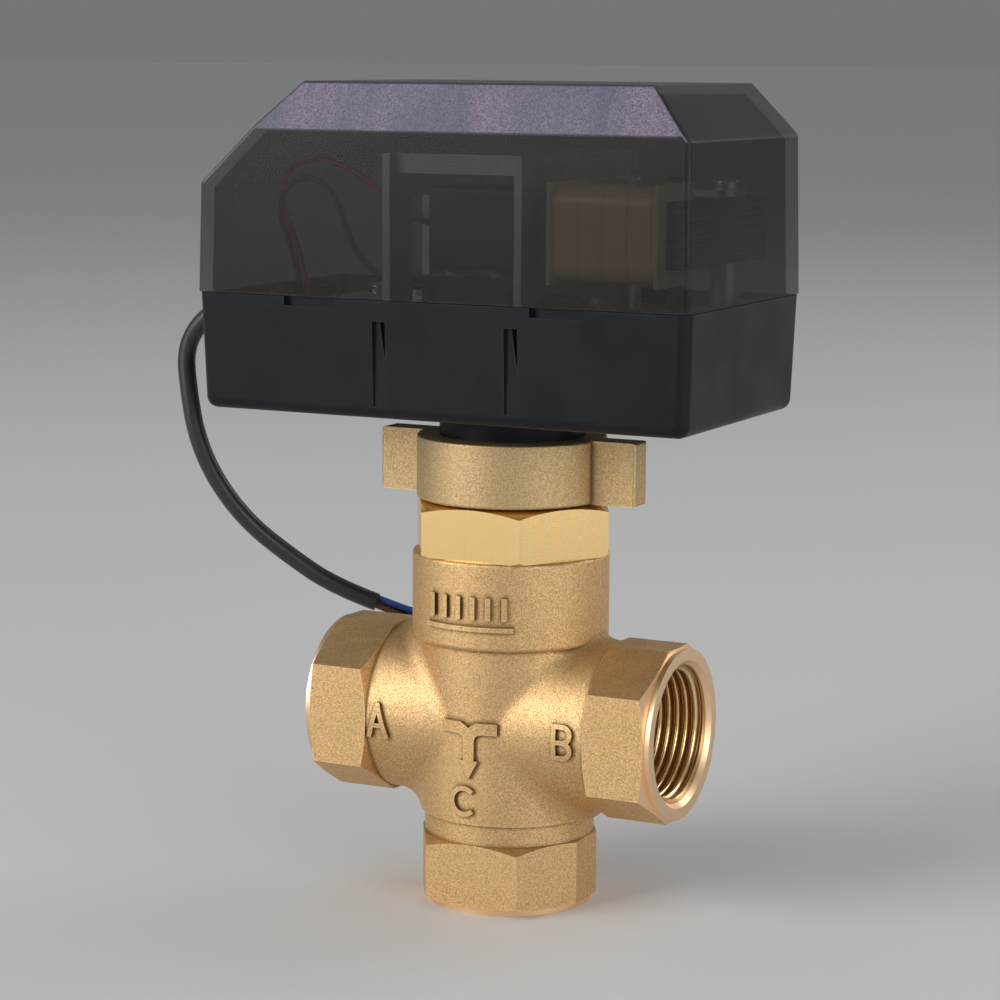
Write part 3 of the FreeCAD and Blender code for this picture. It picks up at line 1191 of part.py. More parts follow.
def wire_start(index):
    """Where one of the three wires leaves the jacket's end face."""
    end, ahead = jacket_end()
    across = ahead.cross(Z_AXIS).normalize()
    up = across.cross(ahead)
    angle = math.radians(90 + 120 * index)
    return end + across * (WIRE_RING_R * math.cos(angle)) + up * (WIRE_RING_R * math.sin(angle))


def make_wire(name, index):
    """One wire from the jacket's end, straight at first and then along its own route."""
    start = wire_start(index)
    ahead = start + jacket_end()[1] * 2.6
    return tube(name, [tuple(start), tuple(ahead)] + list(WIRE_ROUTES[name]), WIRE_R)


def make_cable_grommet():
    """Rubber grommet: a groove in the left wall, a taper outside and a bore for the jacket."""
    outside, inside = BOX_LEFT - 0.1, BOX_LEFT + WALL + 0.5
    taper = Part.makeCone(GROMMET_R[1], GROMMET_R[0], GROMMET_OUT, V(outside - GROMMET_OUT, 0, 0), X_AXIS)
    waist = Part.makeCylinder(GROMMET_R[1], inside - outside, V(outside, 0, 0), X_AXIS)
    flange = Part.makeCylinder(GROMMET_R[0], 1.4, V(inside, 0, 0), X_AXIS)
    bore = Part.makeCylinder(CABLE_R, 40, V(outside - GROMMET_OUT - 1, 0, 0), X_AXIS)
    grommet = joined([taper, waist, flange]).cut(bore)
    grommet.translate(V(0, CABLE_EXIT_Y, CABLE_EXIT_Z))
    return grommet


# ---- all the nodes ------------------------------------------------------------------------

def all_nodes():
    """Every sub-part by its node name."""
    nodes = {
        "valve_body": make_valve_body(),
        "seat_a": make_seat(-1),
        "seat_b": make_seat(1),
        "seat_retainers": make_seat_retainers(),
        "ball": make_ball(),
        "stem": make_stem(),
        "stem_o_rings": make_stem_o_rings(),
        "thrust_washer": make_thrust_washer(),
        "bonnet": make_bonnet(),
        "bonnet_o_ring": make_bonnet_o_ring(),
        "mounting_collar": make_mounting_collar(),
        "actuator_base": make_actuator_base(),
        "base_screws": make_base_screws(),
        "cover": make_cover(),
        "lower_gear_plate": make_lower_gear_plate(),
        "upper_gear_plate": make_upper_gear_plate(),
        "plate_pillars": make_plate_pillars(),
        "plate_screws": make_plate_screws(),
        "gear_pins": make_gear_pins(),
        "output_gear": make_output_gear(),
        "drive_coupling": make_drive_coupling(),
        "second_gear": make_second_gear(),
        "first_gear": make_first_gear(),
        "rotor_pinion": make_rotor_pinion(),
        "rotor": make_rotor(),
        "motor_stack": make_motor_stack(),
        "motor_core": make_motor_core(),
        "motor_bobbin": make_motor_bobbin(),
        "motor_coil": make_motor_coil(),
        "motor_strips": make_motor_strips(),
        "rotor_bushes": make_rotor_bushes(),
        "motor_spacers": make_motor_spacers(),
        "motor_screws": make_motor_screws(),
        "steel_frame": make_steel_frame(),
        "frame_screws": make_frame_screws(),
        "limit_switch_a": make_limit_switch(1),
        "limit_switch_b": make_limit_switch(-1),
        "switch_plunger_a": make_plunger(1),
        "switch_plunger_b": make_plunger(-1),
        "limit_cam": make_limit_cam(),
        "switch_screws": make_switch_screws(),
        "capacitor": make_capacitor(),
        "cable_grommet": make_cable_grommet(),
        "cable_tail": make_cable_tail(),
        "cable_jacket": tube("cable_jacket", cable_route(), CABLE_R),
    }
    for index, name in enumerate(WIRE_ROUTES):
        nodes[name] = make_wire(name, index)
    for name, route in LEAD_ROUTES.items():
        nodes[name] = tube(name, route, LEAD_R)
    return nodes


os.makedirs("parts", exist_ok=True)
for node_name, node_shape in all_nodes().items():
    if not node_shape.isValid():
        print("not valid:", node_name)
    node_shape.exportStep("parts/%s.step" % node_name)
    print(node_name, len(node_shape.Solids), "%.2f" % node_shape.Volume)
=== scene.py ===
"""Motorised three way valve: finishes, pipe threads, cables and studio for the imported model.

Metres, +Z up along the stem, origin at port C's end face, -Y to the front. Sizes in the classes
are in millimetres where their name ends in _mm.
"""
import json
import logging
import math
from dataclasses import dataclass, field
from enum import Enum
from typing import Any, Sequence

import bpy
import numpy as np
from mathutils import Matrix, Vector


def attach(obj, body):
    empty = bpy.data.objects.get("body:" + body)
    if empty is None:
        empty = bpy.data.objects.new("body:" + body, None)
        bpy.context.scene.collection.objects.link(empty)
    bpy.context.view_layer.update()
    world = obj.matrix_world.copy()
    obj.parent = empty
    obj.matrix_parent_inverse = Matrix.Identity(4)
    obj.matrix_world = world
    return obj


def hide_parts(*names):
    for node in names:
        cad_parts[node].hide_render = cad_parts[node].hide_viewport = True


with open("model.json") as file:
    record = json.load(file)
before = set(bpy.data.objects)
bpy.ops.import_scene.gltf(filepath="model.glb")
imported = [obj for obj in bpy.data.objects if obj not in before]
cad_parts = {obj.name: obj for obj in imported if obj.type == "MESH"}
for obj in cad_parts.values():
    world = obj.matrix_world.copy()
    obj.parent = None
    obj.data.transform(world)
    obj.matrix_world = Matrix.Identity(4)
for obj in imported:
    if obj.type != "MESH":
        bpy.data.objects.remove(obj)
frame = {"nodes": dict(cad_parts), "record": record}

LOG = logging.getLogger("valve")
MM = 0.001
Colour = tuple[float, float, float]
Point = tuple[float, float, float]


class Slot(Enum):
    """The record's material slots."""
    CAST_BRASS = "cast_brass"
    TURNED_BRASS = "turned_brass"
    CHROME_BALL = "chrome_ball"
    SEAT_PLASTIC = "seat_plastic"
    SEAL_RUBBER = "seal_rubber"
    BASE_PLASTIC = "base_plastic"
    COVER_PLASTIC = "cover_plastic"
    ZINC_STEEL = "zinc_steel"
    SCREW_STEEL = "screw_steel"
    GEAR_PLASTIC = "gear_plastic"
    GEAR_STEEL = "gear_steel"
    SHAFT_STEEL = "shaft_steel"
    LAMINATION = "lamination"
    BOBBIN_PLASTIC = "bobbin_plastic"
    COIL_TAPE = "coil_tape"
    MAGNET = "magnet"
    BRONZE = "bronze"
    SWITCH_PLASTIC = "switch_plastic"
    PLUNGER_PLASTIC = "plunger_plastic"
    CAPACITOR_RESIN = "capacitor_resin"
    JACKET = "jacket"
    BLUE_INSULATION = "blue_insulation"
    BROWN_INSULATION = "brown_insulation"
    BLACK_INSULATION = "black_insulation"
    RED_INSULATION = "red_insulation"


class Effect(Enum):
    """The shared shader groups."""
    CAST_GRAIN = "cast grain"
    FINE_GRAIN = "fine grain"
    EDGE_WEAR = "edge wear"
    DUST = "dust"
    TOOL_MARKS = "tool marks"
    MOTTLE = "mottle"
    CREVICE = "crevice"


# ---- node trees ---------------------------------------------------------------------------

class Graph:
    """One node tree, built a node at a time."""

    def __init__(self, tree: bpy.types.NodeTree) -> None:
        """Keeps the tree that the nodes go into."""
        self.tree = tree

    def node(self, kind: str, **settings: Any) -> bpy.types.Node:
        """Adds a node.

        Args:
            kind: the node's type without its ShaderNode prefix.
            settings: properties to set on it.

        Returns:
            The new node.
        """
        made = self.tree.nodes.new("ShaderNode" + kind)
        for name, value in settings.items():
            setattr(made, name, value)
        return made

    def feed(self, socket: bpy.types.NodeSocket, value: Any) -> None:
        """Links another node's output to an input, or sets the input's own value."""
        if isinstance(value, bpy.types.NodeSocket):
            self.tree.links.new(value, socket)
        elif isinstance(value, tuple) and len(value) == 3 and socket.type == "RGBA":
            socket.default_value = (*value, 1.0)
        else:
            socket.default_value = value

    def maths(self, operation: str, *values: Any, clamp: bool = False) -> bpy.types.NodeSocket:
        """One step of arithmetic; returns its result."""
        made = self.node("Math", operation=operation, use_clamp=clamp)
        for socket, value in zip(made.inputs, values):
            self.feed(socket, value)
        return made.outputs[0]

    def times(self, first: Any, second: Any, clamp: bool = False) -> bpy.types.NodeSocket:
        """Product of two values."""
        return self.maths("MULTIPLY", first, second, clamp=clamp)

    def ramp(self, value: Any, low: float, high: float, start: float = 0.0,
             end: float = 1.0) -> bpy.types.NodeSocket:
        """A value carried smoothly from the span low..high to the span start..end."""
        made = self.node("MapRange", interpolation_type="SMOOTHSTEP")
        for name, item in (("Value", value), ("From Min", low), ("From Max", high),
                           ("To Min", start), ("To Max", end)):
            self.feed(made.inputs[name], item)
        return made.outputs["Result"]

    def mixed(self, share: Any, first: Any, second: Any) -> bpy.types.NodeSocket:
        """Colour between two others by a share from 0 to 1."""
        made = self.node("Mix", data_type="RGBA")
        self.feed(made.inputs[0], share)
        self.feed(made.inputs[6], first)
        self.feed(made.inputs[7], second)
        return made.outputs[2]

    def place(self, scale: Point = (1.0, 1.0, 1.0)) -> bpy.types.NodeSocket:
        """Object coordinates, stretched along each axis."""
        source = self.node("TexCoord").outputs["Object"]
        mapping = self.node("Mapping")
        self.feed(mapping.inputs["Vector"], source)
        mapping.inputs["Scale"].default_value = scale
        return mapping.outputs["Vector"]

    def axes(self) -> list[bpy.types.NodeSocket]:
        """X, Y and Z of the Object coordinates."""
        parts = self.node("SeparateXYZ")
        self.feed(parts.inputs[0], self.node("TexCoord").outputs["Object"])
        return list(parts.outputs)

    def distance(self, first: Any, second: Any) -> bpy.types.NodeSocket:
        """Length of a two part vector."""
        return self.maths("SQRT", self.maths("ADD", self.times(first, first),
                                             self.times(second, second)))

    def noise(self, where: Any, scale: float, detail: float = 3.0,
              roughness: float = 0.5) -> bpy.types.NodeSocket:
        """Smooth noise from 0 to 1."""
        made = self.node("TexNoise")
        self.feed(made.inputs["Vector"], where)
        self.feed(made.inputs["Scale"], scale)
        made.inputs["Detail"].default_value = detail
        made.inputs["Roughness"].default_value = roughness
        return made.outputs[0]

    def shared(self, effect: Effect, **values: Any) -> dict[str, bpy.types.NodeSocket]:
        """Places a shared effect with this material's own values.

        Args:
            effect: which group.
            values: its inputs by name, underscores standing for spaces.

        Returns:
            The group's outputs by name.
        """
        made = self.node("Group")
        made.node_tree = bpy.data.node_groups[effect.value]
        for name, value in values.items():
            self.feed(made.inputs[name.replace("_", " ")], value)
        return {socket.name: socket for socket in made.outputs}

    def bump(self, height: Any, depth_mm: float, strength: float = 1.0,
             under: Any = None) -> bpy.types.NodeSocket:
        """Normal raised by a height from 0 to 1 that stands for depth_mm."""
        made = self.node("Bump")
        made.inputs["Strength"].default_value = strength
        made.inputs["Distance"].default_value = depth_mm * MM
        self.feed(made.inputs["Height"], height)
        if under is not None:
            self.feed(made.inputs["Normal"], under)
        return made.outputs["Normal"]


class SharedEffects:
    """Builds the shader groups that several finishes use."""

    def start(self, effect: Effect, inputs: dict[str, float],
              outputs: dict[str, str]) -> tuple[Graph, Any, Any]:
        """Opens an empty group.

        Args:
            effect: the group's name.
            inputs: names of the value inputs with their usual values.
            outputs: names of the outputs with their socket kinds.

        Returns:
            The group's graph, its input node and its output node.
        """
        tree = bpy.data.node_groups.new(effect.value, "ShaderNodeTree")
        for name, usual in inputs.items():
            socket = tree.interface.new_socket(name, in_out="INPUT", socket_type="NodeSocketFloat")
            socket.default_value = usual
        for name, kind in outputs.items():
            tree.interface.new_socket(name, in_out="OUTPUT", socket_type=kind)
        return Graph(tree), tree.nodes.new("NodeGroupInput"), tree.nodes.new("NodeGroupOutput")

    def cast_grain(self) -> None:
        """Blasted casting skin: each grain has its own tone, over softer lumps."""
        graph, given, result = self.start(
            Effect.CAST_GRAIN, {"Grains per metre": 2600.0, "Lumps per metre": 520.0},
            {"Tone": "NodeSocketFloat", "Height": "NodeSocketFloat"})
        where = graph.place()
        cells = graph.node("TexVoronoi")
        graph.feed(cells.inputs["Vector"], where)
        graph.feed(cells.inputs["Scale"], given.outputs[0])
        tone = graph.node("SeparateColor")
        graph.feed(tone.inputs[0], cells.outputs["Color"])
        lumps = graph.noise(where, 500.0, 4.0, 0.6)
        graph.feed(lumps.node.inputs["Scale"], given.outputs[1])
        graph.feed(result.inputs["Tone"], graph.maths("MULTIPLY_ADD", tone.outputs[0], 0.62,
                                                      graph.times(lumps, 0.38)))
        grain = graph.times(graph.maths("SUBTRACT", 1.0, cells.outputs["Distance"]),
                            graph.maths("MULTIPLY_ADD", tone.outputs[1], 0.6, 0.4))
        graph.feed(result.inputs["Height"], graph.maths("MULTIPLY_ADD", lumps, 0.7,
                                                        graph.times(grain, 0.3)))

    def fine_grain(self) -> None:
        """Even fine texture of a mould or a drawn surface."""
        graph, given, result = self.start(Effect.FINE_GRAIN, {"Grains per metre": 3200.0},
                                          {"Tone": "NodeSocketFloat", "Height": "NodeSocketFloat"})
        grain = graph.noise(graph.place(), 3200.0, 2.0, 0.6)
        graph.feed(grain.node.inputs["Scale"], given.outputs[0])
        graph.feed(result.inputs["Tone"], graph.ramp(grain, 0.3, 0.7))
        graph.feed(result.inputs["Height"], grain)

    def edge_wear(self) -> None:
        """Mask of outer and inner edges: how far a rounded normal leaves the true one."""
        graph, given, result = self.start(Effect.EDGE_WEAR, {"Radius": 0.0004, "Strength": 3.0},
                                          {"Mask": "NodeSocketFloat"})
        soft = graph.node("Bevel", samples=4)
        graph.feed(soft.inputs["Radius"], given.outputs[0])
        product = graph.node("VectorMath", operation="DOT_PRODUCT")
        graph.feed(product.inputs[0], soft.outputs[0])
        graph.feed(product.inputs[1], graph.node("NewGeometry").outputs["Normal"])
        lost = graph.maths("SUBTRACT", 1.0, product.outputs["Value"])
        patchy = graph.ramp(graph.noise(graph.place(), 900.0, 3.0), 0.3, 0.62, 0.35, 1.0)
        graph.feed(result.inputs["Mask"],
                   graph.times(graph.times(lost, given.outputs[1]), patchy, clamp=True))

    def dust(self) -> None:
        """Mask of faces that look up, for the little dust that lies on them; the cast brass also
        darkens by it as painted shade under the actuator.
        """
        graph, given, result = self.start(Effect.DUST, {"Amount": 0.2}, {"Mask": "NodeSocketFloat"})
        parts = graph.node("SeparateXYZ")
        graph.feed(parts.inputs[0], graph.node("NewGeometry").outputs["Normal"])
        up = graph.ramp(parts.outputs[2], 0.35, 0.95)
        patches = graph.ramp(graph.noise(graph.place(), 140.0, 6.0, 0.7), 0.38, 0.72)
        graph.feed(result.inputs["Mask"],
                   graph.times(graph.times(up, patches), given.outputs[0], clamp=True))

    def tool_marks(self) -> None:
        """Fine parallel lines left by a cutting tool, along a position given in metres."""
        graph, given, result = self.start(
            Effect.TOOL_MARKS, {"Position": 0.0, "Lines per metre": 4000.0},
            {"Height": "NodeSocketFloat"})
        uneven = graph.times(graph.noise(graph.place(), 420.0, 2.0), 4.0)
        turns = graph.times(graph.times(given.outputs[0], given.outputs[1]), 2 * math.pi)
        wave = graph.maths("SINE", graph.maths("ADD", turns, uneven))
        graph.feed(result.inputs["Height"], graph.maths("MULTIPLY_ADD", wave, 0.5, 0.5))

    def mottle(self) -> None:
        """Broad uneven tone of a surface."""
        graph, given, result = self.start(Effect.MOTTLE, {"Patches per metre": 90.0},
                                          {"Tone": "NodeSocketFloat"})
        patch = graph.noise(graph.place(), 90.0, 4.0, 0.6)
        graph.feed(patch.node.inputs["Scale"], given.outputs[0])
        graph.feed(result.inputs["Tone"], graph.ramp(patch, 0.3, 0.7))

    def crevice(self) -> None:
        """Mask of inner corners, where nearby faces close the surface in; the cast brass darkens by
        it as painted shade, with some dirt.
        """
        graph, given, result = self.start(Effect.CREVICE, {"Reach": 0.0012, "Strength": 2.0},
                                          {"Mask": "NodeSocketFloat"})
        closed = graph.node("AmbientOcclusion", samples=6, only_local=True)
        graph.feed(closed.inputs["Distance"], given.outputs[0])
        shut = graph.maths("SUBTRACT", 1.0, closed.outputs["AO"])
        graph.feed(result.inputs["Mask"], graph.times(shut, given.outputs[1], clamp=True))

    def build(self) -> None:
        """Builds every group once."""
        self.cast_grain()
        self.crevice()
        self.fine_grain()
        self.edge_wear()
        self.dust()
        self.tool_marks()
        self.mottle()
        LOG.info("shared effects: %d groups", len(Effect))


# ---- finishes -----------------------------------------------------------------------------

@dataclass(frozen=True)
class Finish:
    """A surface finish; a subclass paints its own nodes."""
    name: str

    def material(self) -> bpy.types.Material:
        """The finish as a material, built the first time it is asked for."""
        known = bpy.data.materials.get(self.name)
        if known is not None:
            return known
        made = bpy.data.materials.new(self.name)
        made.use_nodes = True
        graph = Graph(made.node_tree)
        shader = made.node_tree.nodes["Principled BSDF"]
        self.paint(graph, shader)
        return made

    def paint(self, graph: Graph, shader: bpy.types.Node) -> None:
        """Feeds the shader; each finish has its own way."""
        raise NotImplementedError


@dataclass(frozen=True)
class CastBrass(Finish):
    """Blasted brass casting with sparkling grains, and bright where it has been machined."""
    bright: Colour = (0.89, 0.60, 0.305)
    dull: Colour = (0.54, 0.35, 0.158)
    machined: Colour = (1.0, 0.69, 0.42)
    face_mm: float = 36.46
    port_z_mm: float = 35.8
    end_r_mm: float = 16.33
    land_mm: float = 1.05
    chamfer_slope: float = 3.47
    bore_r_mm: float = 14.2
    thread_mm: float = 14.2
    ported: bool = True

    def turned_at(self, graph: Graph, depth: Any, radius: Any) -> bpy.types.NodeSocket:
        """Mask of a port's end ring, mouth and chamfer.

        Args:
            graph: the material's graph.
            depth: distance into the port from its end face, in metres.
            radius: distance from the port's axis, in metres.

        Returns:
            1 where the port has been machined, else 0.
        """
        ring = graph.maths("LESS_THAN", depth, 0.03 * MM)
        bore = graph.times(graph.maths("LESS_THAN", radius, self.bore_r_mm * MM),
                           graph.maths("LESS_THAN", depth, self.thread_mm * MM))
        past_land = graph.maths("MAXIMUM", graph.maths("SUBTRACT", depth, self.land_mm * MM), 0.0)
        cone = graph.maths("MULTIPLY_ADD", past_land, self.chamfer_slope,
                           (self.end_r_mm - 0.04) * MM)
        chamfer = graph.maths("GREATER_THAN", radius, cone)
        return graph.maths("MAXIMUM", ring, graph.maths("MAXIMUM", bore, chamfer))

    def paint(self, graph: Graph, shader: bpy.types.Node) -> None:
        """Tone by grain and by lump, worn edges with a painted highlight, dust and painted shade on
        top faces, painted shade in inner corners, a parting line and machined port ends.
        """
        x, y, z = graph.axes()
        grain = graph.shared(Effect.CAST_GRAIN, Grains_per_metre=6800.0, Lumps_per_metre=3000.0)
        broad = graph.shared(Effect.MOTTLE, Patches_per_metre=70.0)["Tone"]
        wear = graph.shared(Effect.EDGE_WEAR, Radius=0.0007, Strength=3.2)["Mask"]
        dust = graph.shared(Effect.DUST, Amount=0.30)["Mask"]
        tone = graph.ramp(grain["Tone"], 0.25, 0.75)
        skin = graph.mixed(tone, self.dull, self.bright)
        skin = graph.mixed(graph.times(broad, 0.16), skin, (0.66, 0.45, 0.22))
        # Edges lighten to pale brass: real wear, and a painted highlight that outlines the cast
        # marks.
        skin = graph.mixed(graph.times(wear, 0.55), skin, (0.98, 0.74, 0.44))
        crevice = graph.shared(Effect.CREVICE, Reach=0.0010, Strength=2.2)["Mask"]
        # Faces that look up darken to brown: dust, and painted shade from the actuator above.
        skin = graph.mixed(dust, skin, (0.30, 0.22, 0.12))
        # Inner corners darken to near black brown: painted shade, with some dirt in them.
        skin = graph.mixed(graph.times(crevice, 0.85), skin, (0.13, 0.078, 0.030))
        rough = graph.ramp(grain["Tone"], 0.2, 0.8, 0.62, 0.48)
        seam = graph.ramp(graph.maths("ABSOLUTE", y), 0.10 * MM, 0.34 * MM, 1.0, 0.0)
        height = graph.maths("MULTIPLY_ADD", seam, 1.4, grain["Height"])
        skin_normal = graph.bump(height, 0.075, 0.9)
        if self.ported:
            side_depth = graph.maths("SUBTRACT", self.face_mm * MM, graph.maths("ABSOLUTE", x))
            side_radius = graph.distance(y, graph.maths("SUBTRACT", z, self.port_z_mm * MM))
            foot_radius = graph.distance(x, y)
            cut = graph.maths("MAXIMUM", self.turned_at(graph, side_depth, side_radius),
                              self.turned_at(graph, z, foot_radius))
            lines = graph.shared(Effect.TOOL_MARKS, Position=side_radius,
                                 Lines_per_metre=3600.0)["Height"]
            uncut = graph.maths("SUBTRACT", 1.0, cut)
            skin = graph.mixed(cut, skin, self.machined)
            rough = graph.maths("ADD", graph.times(rough, uncut), graph.times(cut, 0.36))
            surface = graph.maths("ADD", graph.times(height, uncut),
                                  graph.times(graph.times(lines, 0.06), cut))
            skin_normal = graph.bump(surface, 0.075, 0.9)
        graph.feed(shader.inputs["Base Color"], skin)
        graph.feed(shader.inputs["Roughness"], rough)
        graph.feed(shader.inputs["Normal"], skin_normal)
        shader.inputs["Metallic"].default_value = 1.0


@dataclass(frozen=True)
class MachinedMetal(Finish):
    """Bright metal with fine tool marks round Z and faint upright streaks."""
    colour: Colour = (0.95, 0.68, 0.30)
    stained: Colour = (0.80, 0.53, 0.21)
    roughness: float = 0.24
    line_share: float = 0.22
    streaks: float = 0.45

    def paint(self, graph: Graph, shader: bpy.types.Node) -> None:
        """Streaks drawn out along Z, rings by height, and bright worn edges."""
        streak = graph.noise(graph.place((1.0, 1.0, 0.05)), 900.0, 4.0, 0.65)
        broad = graph.shared(Effect.MOTTLE, Patches_per_metre=110.0)["Tone"]
        wear = graph.shared(Effect.EDGE_WEAR, Radius=0.0005, Strength=4.0)["Mask"]
        rings = graph.shared(Effect.TOOL_MARKS, Position=graph.axes()[2],
                             Lines_per_metre=2600.0)["Height"]
        skin = graph.mixed(graph.times(graph.ramp(streak, 0.35, 0.7), self.streaks),
                           self.colour, self.stained)
        skin = graph.mixed(graph.times(broad, 0.2), skin, self.stained)
        polished = tuple(min(1.0, 1.12 * c) for c in self.colour)
        skin = graph.mixed(graph.times(wear, 0.6), skin, polished)
        marks = graph.maths("MULTIPLY_ADD", streak, self.line_share, graph.times(rings, 0.12))
        graph.feed(shader.inputs["Base Color"], skin)
        graph.feed(shader.inputs["Roughness"], graph.ramp(
            streak, 0.2, 0.8, self.roughness - 0.13 * self.streaks,
            self.roughness + 0.22 * self.streaks))
        graph.feed(shader.inputs["Normal"], graph.bump(marks, 0.02, 0.7))
        shader.inputs["Metallic"].default_value = 1.0


@dataclass(frozen=True)
class ThreadedBrass(Finish):
    """Cut thread: bright crests over brown roots darkened as painted shade, read from the thread's
    own height.
    """
    crest: Colour = (1.0, 0.78, 0.42)
    root: Colour = (0.50, 0.29, 0.11)

    def paint(self, graph: Graph, shader: bpy.types.Node) -> None:
        """Mixes by the attribute thread_height, with light tool marks."""
        height = graph.node("Attribute", attribute_name="thread_height").outputs["Fac"]
        broad = graph.shared(Effect.MOTTLE, Patches_per_metre=260.0)["Tone"]
        grain = graph.shared(Effect.FINE_GRAIN, Grains_per_metre=2400.0)
        # The brown of the roots is painted shade in the thread's grooves; the crests keep a bright
        # machined colour.
        skin = graph.mixed(graph.ramp(height, 0.15, 0.85), self.root, self.crest)
        skin = graph.mixed(graph.times(broad, 0.18), skin, (0.60, 0.30, 0.14))
        graph.feed(shader.inputs["Base Color"], skin)
        graph.feed(shader.inputs["Roughness"], graph.ramp(height, 0.0, 1.0, 0.36, 0.20))
        graph.feed(shader.inputs["Normal"], graph.bump(grain["Height"], 0.01, 0.6))
        shader.inputs["Metallic"].default_value = 1.0


@dataclass(frozen=True)
class Moulding(Finish):
    """Opaque moulded plastic, rubber or resin."""
    colour: Colour = (0.03, 0.03, 0.035)
    worn: Colour = (0.10, 0.10, 0.11)
    roughness: float = 0.42
    grains: float = 3200.0
    depth_mm: float = 0.02
    dust: float = 0.15
    coat: float = 0.0
    specular: float = 0.5

    def paint(self, graph: Graph, shader: bpy.types.Node) -> None:
        """Uneven tone, pale worn edges, mould texture and a little dust."""
        grain = graph.shared(Effect.FINE_GRAIN, Grains_per_metre=self.grains)
        broad = graph.shared(Effect.MOTTLE, Patches_per_metre=60.0)["Tone"]
        wear = graph.shared(Effect.EDGE_WEAR, Radius=0.0006, Strength=2.6)["Mask"]
        dust = graph.shared(Effect.DUST, Amount=self.dust)["Mask"]
        lighter = tuple(min(1.0, 1.25 * c + 0.004) for c in self.colour)
        skin = graph.mixed(graph.times(broad, 0.5), self.colour, lighter)
        skin = graph.mixed(graph.times(grain["Tone"], 0.2), skin, lighter)
        skin = graph.mixed(graph.times(wear, 0.5), skin, self.worn)
        skin = graph.mixed(dust, skin, (0.42, 0.40, 0.38))
        graph.feed(shader.inputs["Base Color"], skin)
        graph.feed(shader.inputs["Roughness"], graph.ramp(broad, 0.0, 1.0, self.roughness - 0.05,
                                                          self.roughness + 0.06))
        graph.feed(shader.inputs["Normal"], graph.bump(grain["Height"], self.depth_mm, 0.7))
        shader.inputs["Specular IOR Level"].default_value = self.specular
        shader.inputs["Coat Weight"].default_value = self.coat
        shader.inputs["Coat Roughness"].default_value = 0.12


@dataclass(frozen=True)
class SmokedCover(Finish):
    """Smoked see-through moulding, with frost on the sloped faces along its front and back, coloured
    with a painted lavender and rose sheen.
    """
    colour: Colour = (0.0135, 0.0120, 0.0108)
    haze: Colour = (0.023, 0.0195, 0.0165)
    lavender_sheen: Colour = (0.155, 0.160, 0.250)
    rose_sheen: Colour = (0.330, 0.250, 0.360)
    sheen_pit: Colour = (0.110, 0.108, 0.150)
    clear_share: float = 0.46

    def paint(self, graph: Graph, shader: bpy.types.Node) -> None:
        """Clear smoke on the walls and ends; frost on the two long slopes, with a speckled painted
        sheen of lavender and rose.
        """
        grain = graph.shared(Effect.CAST_GRAIN, Grains_per_metre=6000.0, Lumps_per_metre=1500.0)
        fine = graph.shared(Effect.FINE_GRAIN, Grains_per_metre=4200.0)
        broad = graph.shared(Effect.MOTTLE, Patches_per_metre=42.0)["Tone"]
        wear = graph.shared(Effect.EDGE_WEAR, Radius=0.0008, Strength=2.2)["Mask"]
        dust = graph.shared(Effect.DUST, Amount=0.08)["Mask"]
        facing = graph.node("SeparateXYZ")
        graph.feed(facing.inputs[0], graph.node("NewGeometry").outputs["True Normal"])
        sideways = graph.ramp(graph.maths("ABSOLUTE", facing.outputs[1]), 0.70, 0.85)
        sloped = graph.times(graph.ramp(facing.outputs[2], 0.15, 0.30), sideways)
        wall = graph.mixed(graph.times(broad, 0.7), self.colour, self.haze)
        # The lavender and rose speckle on the slopes is a painted sheen, the reflection of soft light
        # from above the front.
        bands = graph.ramp(graph.noise(graph.place((1.0, 0.15, 0.3)), 62.0, 3.0, 0.6), 0.40, 0.66)
        tint = graph.mixed(bands, self.lavender_sheen, self.rose_sheen)
        speckled_sheen = graph.mixed(graph.ramp(grain["Tone"], 0.25, 0.8), self.sheen_pit, tint)
        skin = graph.mixed(graph.times(sloped, 0.9), wall, speckled_sheen)
        skin = graph.mixed(graph.times(wear, 0.30), skin, (0.15, 0.14, 0.14))
        skin = graph.mixed(dust, skin, (0.20, 0.19, 0.18))
        alpha = graph.maths("MULTIPLY_ADD", broad, 0.04, 1.0 - self.clear_share)
        alpha = graph.maths("ADD", alpha, graph.times(sloped, 0.34), clamp=True)
        graph.feed(shader.inputs["Base Color"], skin)
        graph.feed(shader.inputs["Alpha"], alpha)
        graph.feed(shader.inputs["Roughness"], graph.maths("MULTIPLY_ADD", sloped, 0.20, 0.27))
        surface = graph.maths("ADD", graph.times(fine["Height"], 0.12),
                              graph.times(grain["Height"], sloped))
        graph.feed(shader.inputs["Normal"], graph.bump(surface, 0.05, 0.8))
        shader.inputs["Specular IOR Level"].default_value = 0.25
        shader.inputs["IOR"].default_value = 1.49


